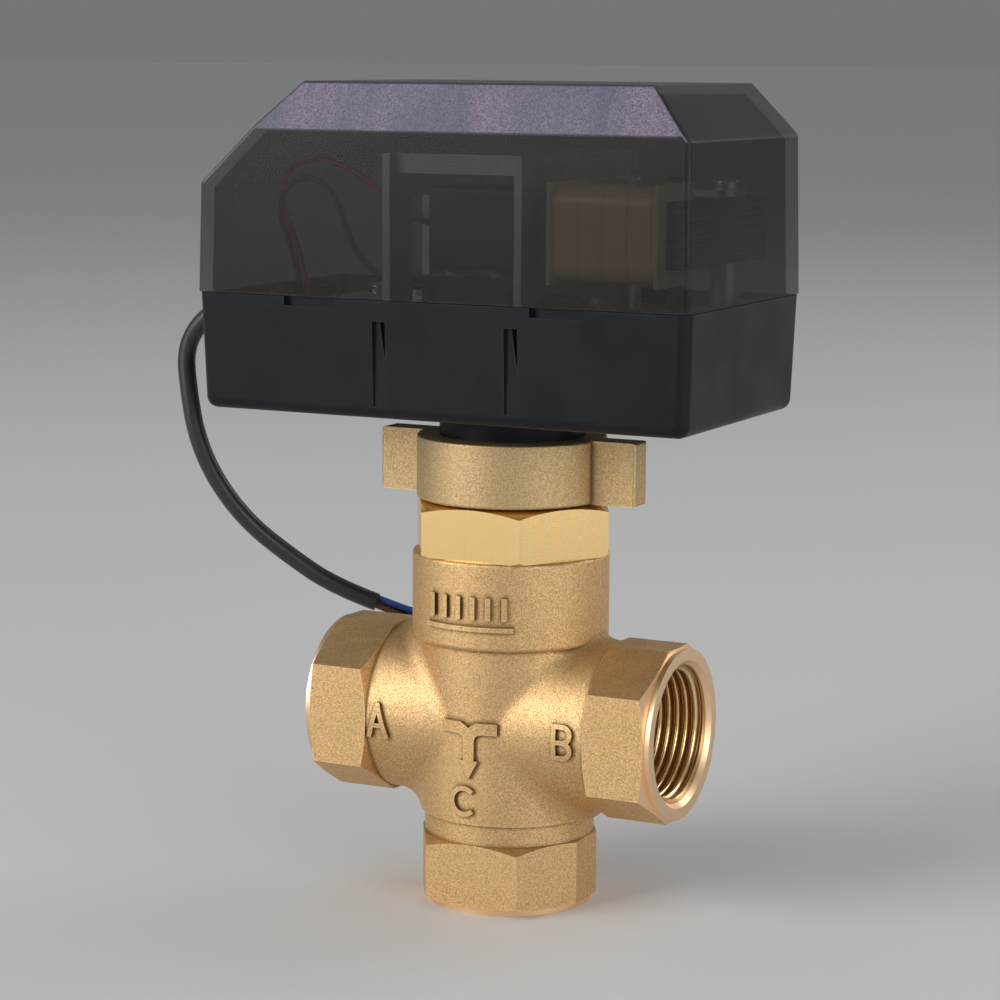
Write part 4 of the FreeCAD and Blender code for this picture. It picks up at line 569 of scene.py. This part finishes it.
@dataclass(frozen=True)
class SheetSteel(Finish):
    """Zinc plated or ground steel with rolling lines along X."""
    colour: Colour = (0.62, 0.63, 0.62)
    blotch: Colour = (0.46, 0.47, 0.46)
    roughness: float = 0.36

    def paint(self, graph: Graph, shader: bpy.types.Node) -> None:
        """Spangled tone, rolling lines and bright sheared edges."""
        cells = graph.node("TexVoronoi")
        graph.feed(cells.inputs["Vector"], graph.place())
        cells.inputs["Scale"].default_value = 300.0
        spangle = graph.node("SeparateColor")
        graph.feed(spangle.inputs[0], cells.outputs["Color"])
        rolled = graph.noise(graph.place((0.04, 1.0, 1.0)), 1500.0, 3.0, 0.6)
        wear = graph.shared(Effect.EDGE_WEAR, Radius=0.0003, Strength=4.0)["Mask"]
        broad = graph.shared(Effect.MOTTLE, Patches_per_metre=120.0)["Tone"]
        skin = graph.mixed(graph.times(spangle.outputs[0], 0.35), self.colour, self.blotch)
        skin = graph.mixed(graph.times(broad, 0.25), skin, self.blotch)
        skin = graph.mixed(graph.times(wear, 0.5), skin, (0.88, 0.88, 0.88))
        graph.feed(shader.inputs["Base Color"], skin)
        graph.feed(shader.inputs["Roughness"], graph.ramp(rolled, 0.2, 0.8, self.roughness - 0.08,
                                                          self.roughness + 0.12))
        graph.feed(shader.inputs["Normal"], graph.bump(rolled, 0.012, 0.6))
        shader.inputs["Metallic"].default_value = 1.0


@dataclass(frozen=True)
class Laminations(Finish):
    """Stack of varnished sheets, seen as dark lines by height."""
    varnish: Colour = (0.10, 0.10, 0.11)
    steel: Colour = (0.30, 0.30, 0.31)
    sheets_per_metre: float = 2000.0

    def paint(self, graph: Graph, shader: bpy.types.Node) -> None:
        """Sheet edges by height, with rust-brown specks."""
        lines = graph.shared(Effect.TOOL_MARKS, Position=graph.axes()[2],
                             Lines_per_metre=self.sheets_per_metre)["Height"]
        broad = graph.shared(Effect.MOTTLE, Patches_per_metre=200.0)["Tone"]
        wear = graph.shared(Effect.EDGE_WEAR, Radius=0.0003, Strength=3.0)["Mask"]
        skin = graph.mixed(graph.times(lines, 0.6), self.varnish, self.steel)
        skin = graph.mixed(graph.times(broad, 0.2), skin, (0.16, 0.09, 0.05))
        skin = graph.mixed(graph.times(wear, 0.5), skin, (0.5, 0.5, 0.5))
        graph.feed(shader.inputs["Base Color"], skin)
        graph.feed(shader.inputs["Normal"], graph.bump(lines, 0.05, 0.8))
        shader.inputs["Metallic"].default_value = 0.75
        shader.inputs["Roughness"].default_value = 0.42


@dataclass(frozen=True)
class CoilTape(Finish):
    """Amber film wound round the coil, with the wire's turns showing through."""
    amber: Colour = (0.98, 0.72, 0.42)
    copper: Colour = (0.72, 0.44, 0.22)
    turns_per_metre: float = 1500.0
    laps_per_metre: float = 210.0

    def paint(self, graph: Graph, shader: bpy.types.Node) -> None:
        """Fine turns along X under broad overlapping laps."""
        along = graph.axes()[0]
        turns = graph.shared(Effect.TOOL_MARKS, Position=along,
                             Lines_per_metre=self.turns_per_metre)["Height"]
        lap = graph.maths("FRACT", graph.times(along, self.laps_per_metre))
        broad = graph.shared(Effect.MOTTLE, Patches_per_metre=150.0)["Tone"]
        skin = graph.mixed(graph.times(turns, 0.4), self.amber, self.copper)
        skin = graph.mixed(graph.ramp(lap, 0.86, 1.0, 0.0, 0.5), skin, (0.50, 0.32, 0.13))
        skin = graph.mixed(graph.times(broad, 0.25), skin, (0.95, 0.78, 0.50))
        height = graph.maths("MULTIPLY_ADD", turns, 0.2, graph.times(lap, 0.8))
        graph.feed(shader.inputs["Base Color"], skin)
        graph.feed(shader.inputs["Normal"], graph.bump(height, 0.06, 0.8))
        shader.inputs["Roughness"].default_value = 0.24
        shader.inputs["Coat Weight"].default_value = 0.5
        shader.inputs["Coat Roughness"].default_value = 0.08


@dataclass(frozen=True)
class StrandedCopper(Finish):
    """Bare twisted copper."""
    colour: Colour = (0.90, 0.45, 0.24)
    tarnish: Colour = (0.50, 0.20, 0.10)

    def paint(self, graph: Graph, shader: bpy.types.Node) -> None:
        """Bright copper with tarnished patches."""
        broad = graph.shared(Effect.MOTTLE, Patches_per_metre=900.0)["Tone"]
        grain = graph.shared(Effect.FINE_GRAIN, Grains_per_metre=6000.0)
        graph.feed(shader.inputs["Base Color"], graph.mixed(broad, self.colour, self.tarnish))
        graph.feed(shader.inputs["Roughness"], graph.ramp(grain["Tone"], 0.0, 1.0, 0.22, 0.34))
        graph.feed(shader.inputs["Normal"], graph.bump(grain["Height"], 0.01, 0.5))
        shader.inputs["Metallic"].default_value = 1.0


@dataclass(frozen=True)
class StudioPaper(Finish):
    """Plain pale floor."""
    colour: Colour = (0.70, 0.70, 0.70)

    def paint(self, graph: Graph, shader: bpy.types.Node) -> None:
        """Very light unevenness on a matt pale ground."""
        broad = graph.noise(graph.place(), 3.0, 3.0)
        darker = tuple(0.97 * c for c in self.colour)
        graph.feed(shader.inputs["Base Color"], graph.mixed(broad, self.colour, darker))
        shader.inputs["Roughness"].default_value = 0.9


def insulation(name: str, colour: Colour, worn: Colour) -> Moulding:
    """Glossy insulation of a wire."""
    return Moulding(name, colour, worn, 0.28, 4200.0, 0.01, 0.0, 0.3)


FINISHES: dict[Slot, Finish] = {
    Slot.CAST_BRASS: CastBrass("blasted cast brass"),
    Slot.TURNED_BRASS: MachinedMetal("machined brass"),
    Slot.CHROME_BALL: MachinedMetal("hard chrome", (0.82, 0.82, 0.84), (0.72, 0.72, 0.75),
                                    0.14, 0.1),
    Slot.SEAT_PLASTIC: Moulding("white seat plastic", (0.82, 0.82, 0.79), (0.9, 0.9, 0.88),
                                0.5, 2600.0),
    Slot.SEAL_RUBBER: Moulding("seal rubber", (0.018, 0.018, 0.019), (0.06, 0.06, 0.06),
                               0.55, 3800.0),
    Slot.BASE_PLASTIC: Moulding("black base plastic", (0.0085, 0.0095, 0.0125),
                                (0.045, 0.048, 0.058), 0.40, 3000.0, 0.03, 0.05, 0.0, 0.15),
    Slot.COVER_PLASTIC: SmokedCover("smoked cover"),
    Slot.ZINC_STEEL: SheetSteel("zinc sheet"),
    Slot.SCREW_STEEL: SheetSteel("zinc screws", (0.66, 0.66, 0.65), (0.5, 0.5, 0.49), 0.30),
    Slot.GEAR_PLASTIC: Moulding("natural acetal", (0.74, 0.71, 0.60), (0.86, 0.84, 0.76),
                                0.38, 2400.0),
    Slot.GEAR_STEEL: SheetSteel("sintered steel", (0.42, 0.42, 0.43), (0.30, 0.30, 0.31), 0.42),
    Slot.SHAFT_STEEL: SheetSteel("ground steel", (0.70, 0.70, 0.72), (0.60, 0.60, 0.62), 0.22),
    Slot.LAMINATION: Laminations("stacked laminations"),
    Slot.BOBBIN_PLASTIC: Moulding("natural nylon", (0.66, 0.58, 0.40), (0.8, 0.74, 0.58),
                                  0.42, 2400.0),
    Slot.COIL_TAPE: CoilTape("amber coil tape"),
    Slot.MAGNET: Moulding("sintered ferrite", (0.055, 0.055, 0.06), (0.2, 0.2, 0.2), 0.5, 1800.0),
    Slot.BRONZE: MachinedMetal("oiled bronze", (0.70, 0.42, 0.20), (0.48, 0.26, 0.11), 0.34, 0.3),
    Slot.SWITCH_PLASTIC: Moulding("switch moulding", (0.022, 0.022, 0.023), (0.1, 0.1, 0.1),
                                  0.40, 3000.0),
    Slot.PLUNGER_PLASTIC: Moulding("red plunger", (0.55, 0.05, 0.03), (0.7, 0.2, 0.15),
                                   0.35, 3000.0),
    Slot.CAPACITOR_RESIN: Moulding("capacitor resin", (0.045, 0.045, 0.05), (0.16, 0.16, 0.16),
                                   0.34, 2200.0),
    Slot.JACKET: Moulding("flexible jacket", (0.020, 0.021, 0.024), (0.06, 0.06, 0.065),
                          0.40, 4200.0, 0.03, 0.0),
    Slot.BLUE_INSULATION: insulation("blue insulation", (0.018, 0.075, 0.36), (0.1, 0.2, 0.5)),
    Slot.BROWN_INSULATION: insulation("brown insulation", (0.085, 0.030, 0.014), (0.2, 0.1, 0.06)),
    Slot.BLACK_INSULATION: insulation("black insulation", (0.012, 0.012, 0.012),
                                      (0.05, 0.05, 0.05)),
    Slot.RED_INSULATION: insulation("red insulation", (0.42, 0.018, 0.014), (0.6, 0.1, 0.1)),
}


# ---- surfaces -----------------------------------------------------------------------------

@dataclass
class Surface:
    """A mesh made from a grid of points, closed along its rows, its columns or both."""
    name: str
    points: np.ndarray
    rows_close: bool = False
    columns_close: bool = True
    capped: bool = False
    heights: np.ndarray | None = None

    def faces(self) -> np.ndarray:
        """Corners of every four sided face, from each grid cell's four indices.

        Returns:
            An integer array with four columns.
        """
        rows, columns = self.points.shape[:2]
        index = np.arange(rows * columns).reshape(rows, columns)
        ahead = np.roll(index, -1, axis=0)
        beside = np.roll(index, -1, axis=1)
        corner = np.roll(ahead, -1, axis=1)
        cells = np.stack([index, beside, corner, ahead], axis=-1)
        cells = cells if self.rows_close else cells[:-1]
        cells = cells if self.columns_close else cells[:, :-1]
        return cells.reshape(-1, 4)

    def build(self, finish: Finish) -> bpy.types.Object:
        """Makes the object, with its faces turned outwards.

        Args:
            finish: the surface's finish.

        Returns:
            The object, at the origin.
        """
        rows, columns = self.points.shape[:2]
        vertices = self.points.reshape(-1, 3)
        faces = self.faces().tolist()
        if self.capped:
            faces.append(list(range(columns))[::-1])
            faces.append(list(range((rows - 1) * columns, rows * columns)))
        mesh = bpy.data.meshes.new(self.name)
        mesh.from_pydata(vertices.tolist(), [], faces)
        mesh.update()
        mesh.calc_loop_triangles()
        corners = np.empty(len(mesh.loop_triangles) * 3, dtype=np.int32)
        mesh.loop_triangles.foreach_get("vertices", corners)
        a, b, c = (vertices[corners.reshape(-1, 3)[:, i]] for i in range(3))
        if float(np.einsum("ij,ij->i", a, np.cross(b, c)).sum()) < 0:
            mesh.flip_normals()
        mesh.polygons.foreach_set("use_smooth", np.ones(len(mesh.polygons), dtype=bool))
        if self.heights is not None:
            layer = mesh.attributes.new("thread_height", "FLOAT", "POINT")
            layer.data.foreach_set("value", self.heights.reshape(-1).astype(np.float32))
        mesh.materials.append(finish.material())
        made = bpy.data.objects.new(self.name, mesh)
        bpy.context.collection.objects.link(made)
        return made


class Port(Enum):
    """The three ports: centre of the end face in mm, and the direction inwards."""
    A = ((-36.46, 0.0, 35.8), (1.0, 0.0, 0.0))
    B = ((36.46, 0.0, 35.8), (-1.0, 0.0, 0.0))
    C = ((0.0, 0.0, 0.0), (0.0, 0.0, 1.0))


@dataclass
class PipeThread:
    """Female pipe thread of one port, as a closed sleeve set into the casting's wall."""
    port: Port
    root_r_mm: float = 13.19
    crest_r_mm: float = 12.06
    wall_r_mm: float = 13.42
    pitch_mm: float = 1.814
    mouth_r_mm: float = 14.1
    start_mm: float = 0.90
    end_mm: float = 13.96
    fade_mm: float = 1.5
    steps_round: int = 168
    steps_per_pitch: int = 14

    def share(self, depth: np.ndarray, angle: np.ndarray) -> np.ndarray:
        """Height of the thread from 0 at the root to 1 at the crest.

        The phase is depth over pitch less angle over a full turn; a triangle wave of it is
        steepened, cut off at both ends and rounded by a sine, which gives round crests and roots.

        Args:
            depth: distance from the end face, in mm.
            angle: angle round the axis, in radians.

        Returns:
            The height at each point.
        """
        phase = np.mod(depth / self.pitch_mm - angle / (2 * np.pi), 1.0)
        triangle = 1.0 - 4.0 * np.abs(phase - 0.5)
        rounded = np.sin(np.clip(1.25 * triangle, -1.0, 1.0) * np.pi / 2)
        fade = np.clip((self.end_mm - depth) / self.fade_mm, 0.0, 1.0)
        return (0.5 + 0.5 * rounded) * fade * fade * (3.0 - 2.0 * fade)

    def build(self) -> bpy.types.Object:
        """Carries the thread's profile round the port's axis.

        A point is the port's centre, plus depth inwards, plus radius along the turned direction;
        radius is the root's less the height times the thread's depth, and never less than the
        mouth's 45 degree cone allows.

        Returns:
            The sleeve, riding on the valve.
        """
        rows = int((self.end_mm - self.start_mm) / self.pitch_mm * self.steps_per_pitch)
        depth = np.linspace(self.start_mm, self.end_mm, rows)[:, None]
        angle = np.linspace(0.0, 2 * np.pi, self.steps_round, endpoint=False)[None, :]
        height = self.share(depth, angle)
        radius = self.root_r_mm - height * (self.root_r_mm - self.crest_r_mm)
        radius = np.minimum(np.maximum(radius, self.mouth_r_mm - depth), self.root_r_mm)
        height = (self.root_r_mm - radius) / (self.root_r_mm - self.crest_r_mm)
        wall = np.full((1, self.steps_round), self.wall_r_mm)
        radius = np.vstack([wall, radius, wall])
        height = np.vstack([0 * wall, height, 0 * wall])
        depth = np.vstack([depth[:1], depth, depth[-1:]])
        centre, inward = (np.array(part) for part in self.port.value)
        first = np.array([0.0, 1.0, 0.0])
        second = np.cross(inward, first)
        points = (centre + depth[..., None] * inward + radius[..., None] *
                  (np.cos(angle)[..., None] * first + np.sin(angle)[..., None] * second)) * MM
        sleeve = Surface(f"thread_{self.port.name.lower()}", points, rows_close=True,
                         heights=height).build(ThreadedBrass("cut thread brass"))
        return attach(sleeve, "valve")


# ---- cables -------------------------------------------------------------------------------

@dataclass
class FreeCord:
    """A free cable or wire on one smooth curve."""
    name: str
    route_mm: Sequence[Point]
    radius_mm: float
    length_mm: float
    slot: Slot
    stiffness: str
    bare_end_mm: float = 0.0

    def curve(self) -> bpy.types.Object:
        """Quadratic NURBS curve whose control points are the route's points.

        Returns:
            The curve object, round and capped.
        """
        data = bpy.data.curves.new(self.name, "CURVE")
        data.dimensions = "3D"
        data.bevel_depth = self.radius_mm * MM
        data.bevel_resolution = 5
        data.resolution_u = 14
        data.use_fill_caps = True
        line = data.splines.new("NURBS")
        line.points.add(len(self.route_mm) - 1)
        weighted = np.column_stack([np.array(self.route_mm) * MM, np.ones(len(self.route_mm))])
        line.points.foreach_set("co", weighted.ravel())
        line.order_u = 3
        line.use_endpoint_u = True
        data.materials.append(FINISHES[self.slot].material())
        made = bpy.data.objects.new(self.name, data)
        bpy.context.collection.objects.link(made)
        return made

    def strands(self) -> bpy.types.Object:
        """Bare twisted end beyond the insulation.

        A point is the end of the route, plus the way along the last run, plus a radius that
        waves six times round, turned steadily along the way, and closes at both ends.

        Returns:
            The strands, riding on the valve.
        """
        end, before = (np.array(self.route_mm[i]) for i in (-1, -2))
        ahead = (end - before) / np.linalg.norm(end - before)
        across = np.cross(ahead, [0.0, 0.0, 1.0])
        across /= np.linalg.norm(across)
        up = np.cross(across, ahead)
        along = np.linspace(-0.6, self.bare_end_mm, 26)[:, None]
        angle = np.linspace(0.0, 2 * np.pi, 48, endpoint=False)[None, :]
        tip = np.clip((self.bare_end_mm - along) / 0.5, 0.02, 1.0) ** 0.5
        radius = 0.52 * self.radius_mm * tip * (1.0 + 0.16 * np.cos(6 * (angle + 1.1 * along)))
        points = (end + along[..., None] * ahead + radius[..., None] *
                  (np.cos(angle)[..., None] * across + np.sin(angle)[..., None] * up)) * MM
        made = Surface(f"{self.name}_strands", points, capped=True).build(
            StrandedCopper("stranded copper"))
        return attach(made, "valve")

    def build(self) -> bpy.types.Object:
        """Returns:
            The cord.
        """
        made = self.curve()
        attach(made, "valve")
        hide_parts(self.name)
        ends = [self.strands()] if self.bare_end_mm else []
        LOG.info("%s: free cord, %.1f mm", self.name, self.length_mm)
        return made


@dataclass
class Cabling:
    """The jacketed cable out of the grommet and the three wires from its end."""
    jacket_route: Sequence[Point] = (
        (-55.9, -2.0, 113.0), (-62.7, -2.0, 113.0), (-68.7, -2.2, 109.5), (-72.2, -2.4, 103.5),
        (-71.1, -2.9, 95.1), (-69.3, -3.0, 86.1), (-66.3, -0.7, 77.1), (-60.5, 2.2, 68.5),
        (-53.6, 6.5, 61.8), (-45.5, 10.8, 55.4), (-37.2, 14.0, 52.2))
    blue_route: Sequence[Point] = ((-31.2, 18.2, 50.2), (-25.2, 21.6, 49.0), (-18.8, 24.0, 48.6),
                                   (-12.6, 25.2, 47.0), (-6.8, 25.4, 44.4))
    black_route: Sequence[Point] = ((-31.0, 19.1, 48.6), (-25.2, 23.2, 46.4), (-19.2, 26.2, 44.6),
                                    (-13.4, 28.0, 42.0), (-8.4, 28.8, 38.6))
    brown_route: Sequence[Point] = ((-31.6, 16.9, 48.5), (-25.8, 20.6, 46.6), (-19.8, 23.0, 45.2),
                                    (-14.0, 24.0, 42.8), (-8.9, 24.2, 39.6))
    jacket_r_mm: float = 1.8
    wire_r_mm: float = 0.65
    ring_r_mm: float = 0.9
    straight_mm: float = 2.6
    bare_end_mm: float = 3.2

    def wire_route(self, order: int, route: Sequence[Point]) -> list[Point]:
        """A wire's whole route, from its place on the jacket's end face.

        Args:
            order: the wire's place on the ring, 0 at the top.
            route: the wire's own points.

        Returns:
            The start, a point straight ahead of it, and the wire's own points.
        """
        end, before = (Vector(self.jacket_route[i]) for i in (-1, -2))
        ahead = (end - before).normalized()
        across = ahead.cross(Vector((0.0, 0.0, 1.0))).normalized()
        up = across.cross(ahead)
        angle = math.radians(90 + 120 * order)
        start = end + (across * math.cos(angle) + up * math.sin(angle)) * self.ring_r_mm
        return [tuple(start), tuple(start + ahead * self.straight_mm), *route]

    def build(self) -> None:
        """Builds the four cords."""
        FreeCord("cable_jacket", self.jacket_route, self.jacket_r_mm, 89.3, Slot.JACKET,
                 "medium").build()
        wires = (("wire_blue", self.blue_route, 34.3, Slot.BLUE_INSULATION),
                 ("wire_black", self.black_route, 35.7, Slot.BLACK_INSULATION),
                 ("wire_brown", self.brown_route, 33.5, Slot.BROWN_INSULATION))
        for order, (name, route, length, slot) in enumerate(wires):
            FreeCord(name, self.wire_route(order, route), self.wire_r_mm, length, slot, "limp",
                     self.bare_end_mm).build()


# ---- sub-assemblies -----------------------------------------------------------------------

@dataclass
class Assembly:
    """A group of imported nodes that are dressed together."""
    title: str
    nodes: Sequence[str]
    special: dict[str, Finish] = field(default_factory=dict)

    def dress(self) -> None:
        """Gives every node the finish of its slot, or its own special one."""
        slots = {part["node"]: Slot(part["material_slot"]) for part in frame["record"]["subparts"]}
        for name in self.nodes:
            finish = self.special.get(name, FINISHES[slots[name]])
            for holder in frame["nodes"][name].material_slots:
                holder.material = finish.material()
            LOG.info("%s: %s in %s", self.title, name, finish.name)

    def build(self) -> None:
        """Dresses the nodes; an assembly with pieces of its own adds them first."""
        self.dress()


@dataclass
class ValveCasting(Assembly):
    """The brass casting with its inner parts and the three cut threads."""
    title: str = "valve"
    nodes: Sequence[str] = ("valve_body", "seat_a", "seat_b", "seat_retainers", "ball", "stem",
                            "stem_o_rings", "thrust_washer")

    def build(self) -> None:
        """Cuts the threads and dresses the nodes."""
        for port in Port:
            sleeve = PipeThread(port).build()
            LOG.info("%s: %s, %d points", self.title, sleeve.name, len(sleeve.data.vertices))
        self.dress()


@dataclass
class BonnetAndCollar(Assembly):
    """The machined bonnet and the cast collar above it."""
    title: str = "bonnet"
    nodes: Sequence[str] = ("bonnet", "bonnet_o_ring", "mounting_collar")

    def build(self) -> None:
        """Dresses the nodes; the collar has no ports to machine."""
        # The collar's brass is a darker, duller copy of the body's: painted shade under the actuator
        # base.
        self.special = {
            "mounting_collar": CastBrass("collar brass in painted shade", (0.70, 0.51, 0.275),
                                         (0.47, 0.34, 0.178), ported=False),
            "bonnet": MachinedMetal("milled bonnet brass", (0.98, 0.68, 0.30),
                                    (0.90, 0.60, 0.245), 0.24, 0.05, 0.16)}
        self.dress()


@dataclass
class ActuatorCasing(Assembly):
    """The black base, the smoked cover and their screws."""
    title: str = "casing"
    nodes: Sequence[str] = ("actuator_base", "base_screws", "cover", "cable_grommet", "cable_tail",
                            "cable_jacket", "wire_blue", "wire_black", "wire_brown")


@dataclass
class GearTrain(Assembly):
    """Plates, pillars, pins and wheels."""
    title: str = "gears"
    nodes: Sequence[str] = ("lower_gear_plate", "upper_gear_plate", "plate_pillars", "plate_screws",
                            "gear_pins", "output_gear", "drive_coupling", "second_gear", "first_gear",
                            "rotor_pinion")


@dataclass
class Motor(Assembly):
    """The synchronous motor."""
    title: str = "motor"
    nodes: Sequence[str] = ("rotor", "motor_stack", "motor_core", "motor_bobbin", "motor_coil",
                            "motor_strips", "rotor_bushes", "motor_spacers", "motor_screws")


@dataclass
class SwitchDeck(Assembly):
    """The steel frame with the switches, the cam, the capacitor and the leads."""
    title: str = "switches"
    nodes: Sequence[str] = ("steel_frame", "frame_screws", "limit_switch_a", "limit_switch_b",
                            "switch_plunger_a", "switch_plunger_b", "limit_cam", "switch_screws",
                            "capacitor", "lead_black", "lead_red")


# ---- studio -------------------------------------------------------------------------------

@dataclass
class Viewpoint:
    """The camera, by the direction it looks from."""
    azimuth: float = 26.337
    pitch: float = 8.809
    roll: float = 0.381
    focal_per_width: float = 2.888
    place: Point = (0.2415, -0.4929, 0.1630)

    def build(self) -> None:
        """Places the camera.

        Its back points from the object to the camera, by azimuth and pitch; right and up are
        square to it and then turned by the roll.
        """
        az, el, turn = (math.radians(a) for a in (self.azimuth, self.pitch, self.roll))
        back = Vector((math.sin(az) * math.cos(el), -math.cos(az) * math.cos(el), math.sin(el)))
        level = Vector((math.cos(az), math.sin(az), 0.0))
        upright = back.cross(level)
        right = level * math.cos(turn) + upright * math.sin(turn)
        up = upright * math.cos(turn) - level * math.sin(turn)
        lens = bpy.data.cameras.new("camera")
        lens.sensor_width = 36.0
        lens.lens = 36.0 * self.focal_per_width
        made = bpy.data.objects.new("camera", lens)
        made.matrix_world = Matrix.Translation(self.place) @ Matrix(
            (right, up, back)).transposed().to_4x4()
        bpy.context.collection.objects.link(made)
        bpy.context.scene.camera = made


@dataclass
class SoftBox:
    """A large soft lamp aimed at the valve."""
    name: str
    place: Point
    size: float
    watts: float
    tint: Colour = (1.0, 1.0, 1.0)
    aim: Point = (0.0, 0.0, 0.08)

    def build(self) -> None:
        """Adds the lamp, turned to its aim."""
        lamp = bpy.data.lights.new(self.name, "AREA")
        lamp.size = self.size
        lamp.energy = self.watts
        lamp.color = self.tint
        made = bpy.data.objects.new(self.name, lamp)
        turn = (Vector(self.aim) - Vector(self.place)).to_track_quat("-Z", "Y")
        made.matrix_world = Matrix.Translation(self.place) @ turn.to_matrix().to_4x4()
        bpy.context.collection.objects.link(made)


@dataclass
class Studio:
    """Pale floor, soft lamps, and a surround that is as dark as the far floor at its skyline."""
    surround: float = 0.28
    skyline: float = 0.185
    floor_r: float = 40.0
    under_foot: float = 2e-5
    boxes: Sequence[SoftBox] = (
        SoftBox("key_box", (-0.95, -1.25, 0.70), 1.0, 19.5, (1.0, 0.99, 0.97)),
        SoftBox("fill_box", (1.35, -0.95, 0.50), 0.8, 5.8, (0.97, 0.98, 1.0)),
        SoftBox("side_box", (1.5, -0.10, 0.22), 0.7, 4.2),
        SoftBox("rim_box", (0.9, 1.2, 0.7), 0.8, 5.0),
        SoftBox("top_box", (0.0, 0.1, 1.5), 1.2, 1.5),
    )

    def floor(self) -> None:
        """Round floor: a point is a radius times its angle's direction, just under the foot."""
        radius = np.linspace(0.0, self.floor_r, 12)[1:, None]
        angle = np.linspace(0.0, 2 * np.pi, 64, endpoint=False)[None, :]
        level = np.full((len(radius), angle.size), -self.under_foot)
        points = np.stack([radius * np.cos(angle), radius * np.sin(angle), level], axis=-1)
        centre = np.zeros_like(points[:1]) + [0.0, 0.0, -self.under_foot]
        Surface("floor", np.concatenate([centre, points])).build(StudioPaper("studio paper"))

    def build(self) -> None:
        """Adds the floor, the lamps and the surround."""
        self.floor()
        for lamp in self.boxes:
            lamp.build()
        world = bpy.data.worlds.new("surround")
        world.use_nodes = True
        shade = world.node_tree.nodes["Background"]
        shade.inputs["Color"].default_value = (0.95, 0.97, 1.0, 1.0)
        graph = Graph(world.node_tree)
        direction = graph.node("SeparateXYZ")
        graph.feed(direction.inputs[0], graph.node("TexCoord").outputs["Generated"])
        graph.feed(shade.inputs["Strength"], graph.ramp(direction.outputs[2], 0.0, 0.35,
                                                        self.skyline, self.surround))
        bpy.context.scene.world = world
        bpy.context.scene.view_settings.view_transform = "Standard"


def main() -> None:
    """Builds every class in order and reports each piece."""
    logging.basicConfig(level=logging.INFO, format="%(message)s")
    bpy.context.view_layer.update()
    Viewpoint().build()
    SharedEffects().build()
    Cabling().build()
    for assembly in (ValveCasting(), BonnetAndCollar(), ActuatorCasing(), GearTrain(), Motor(),
                     SwitchDeck()):
        assembly.build()
    Studio().build()


if __name__ == "__main__":
    main()
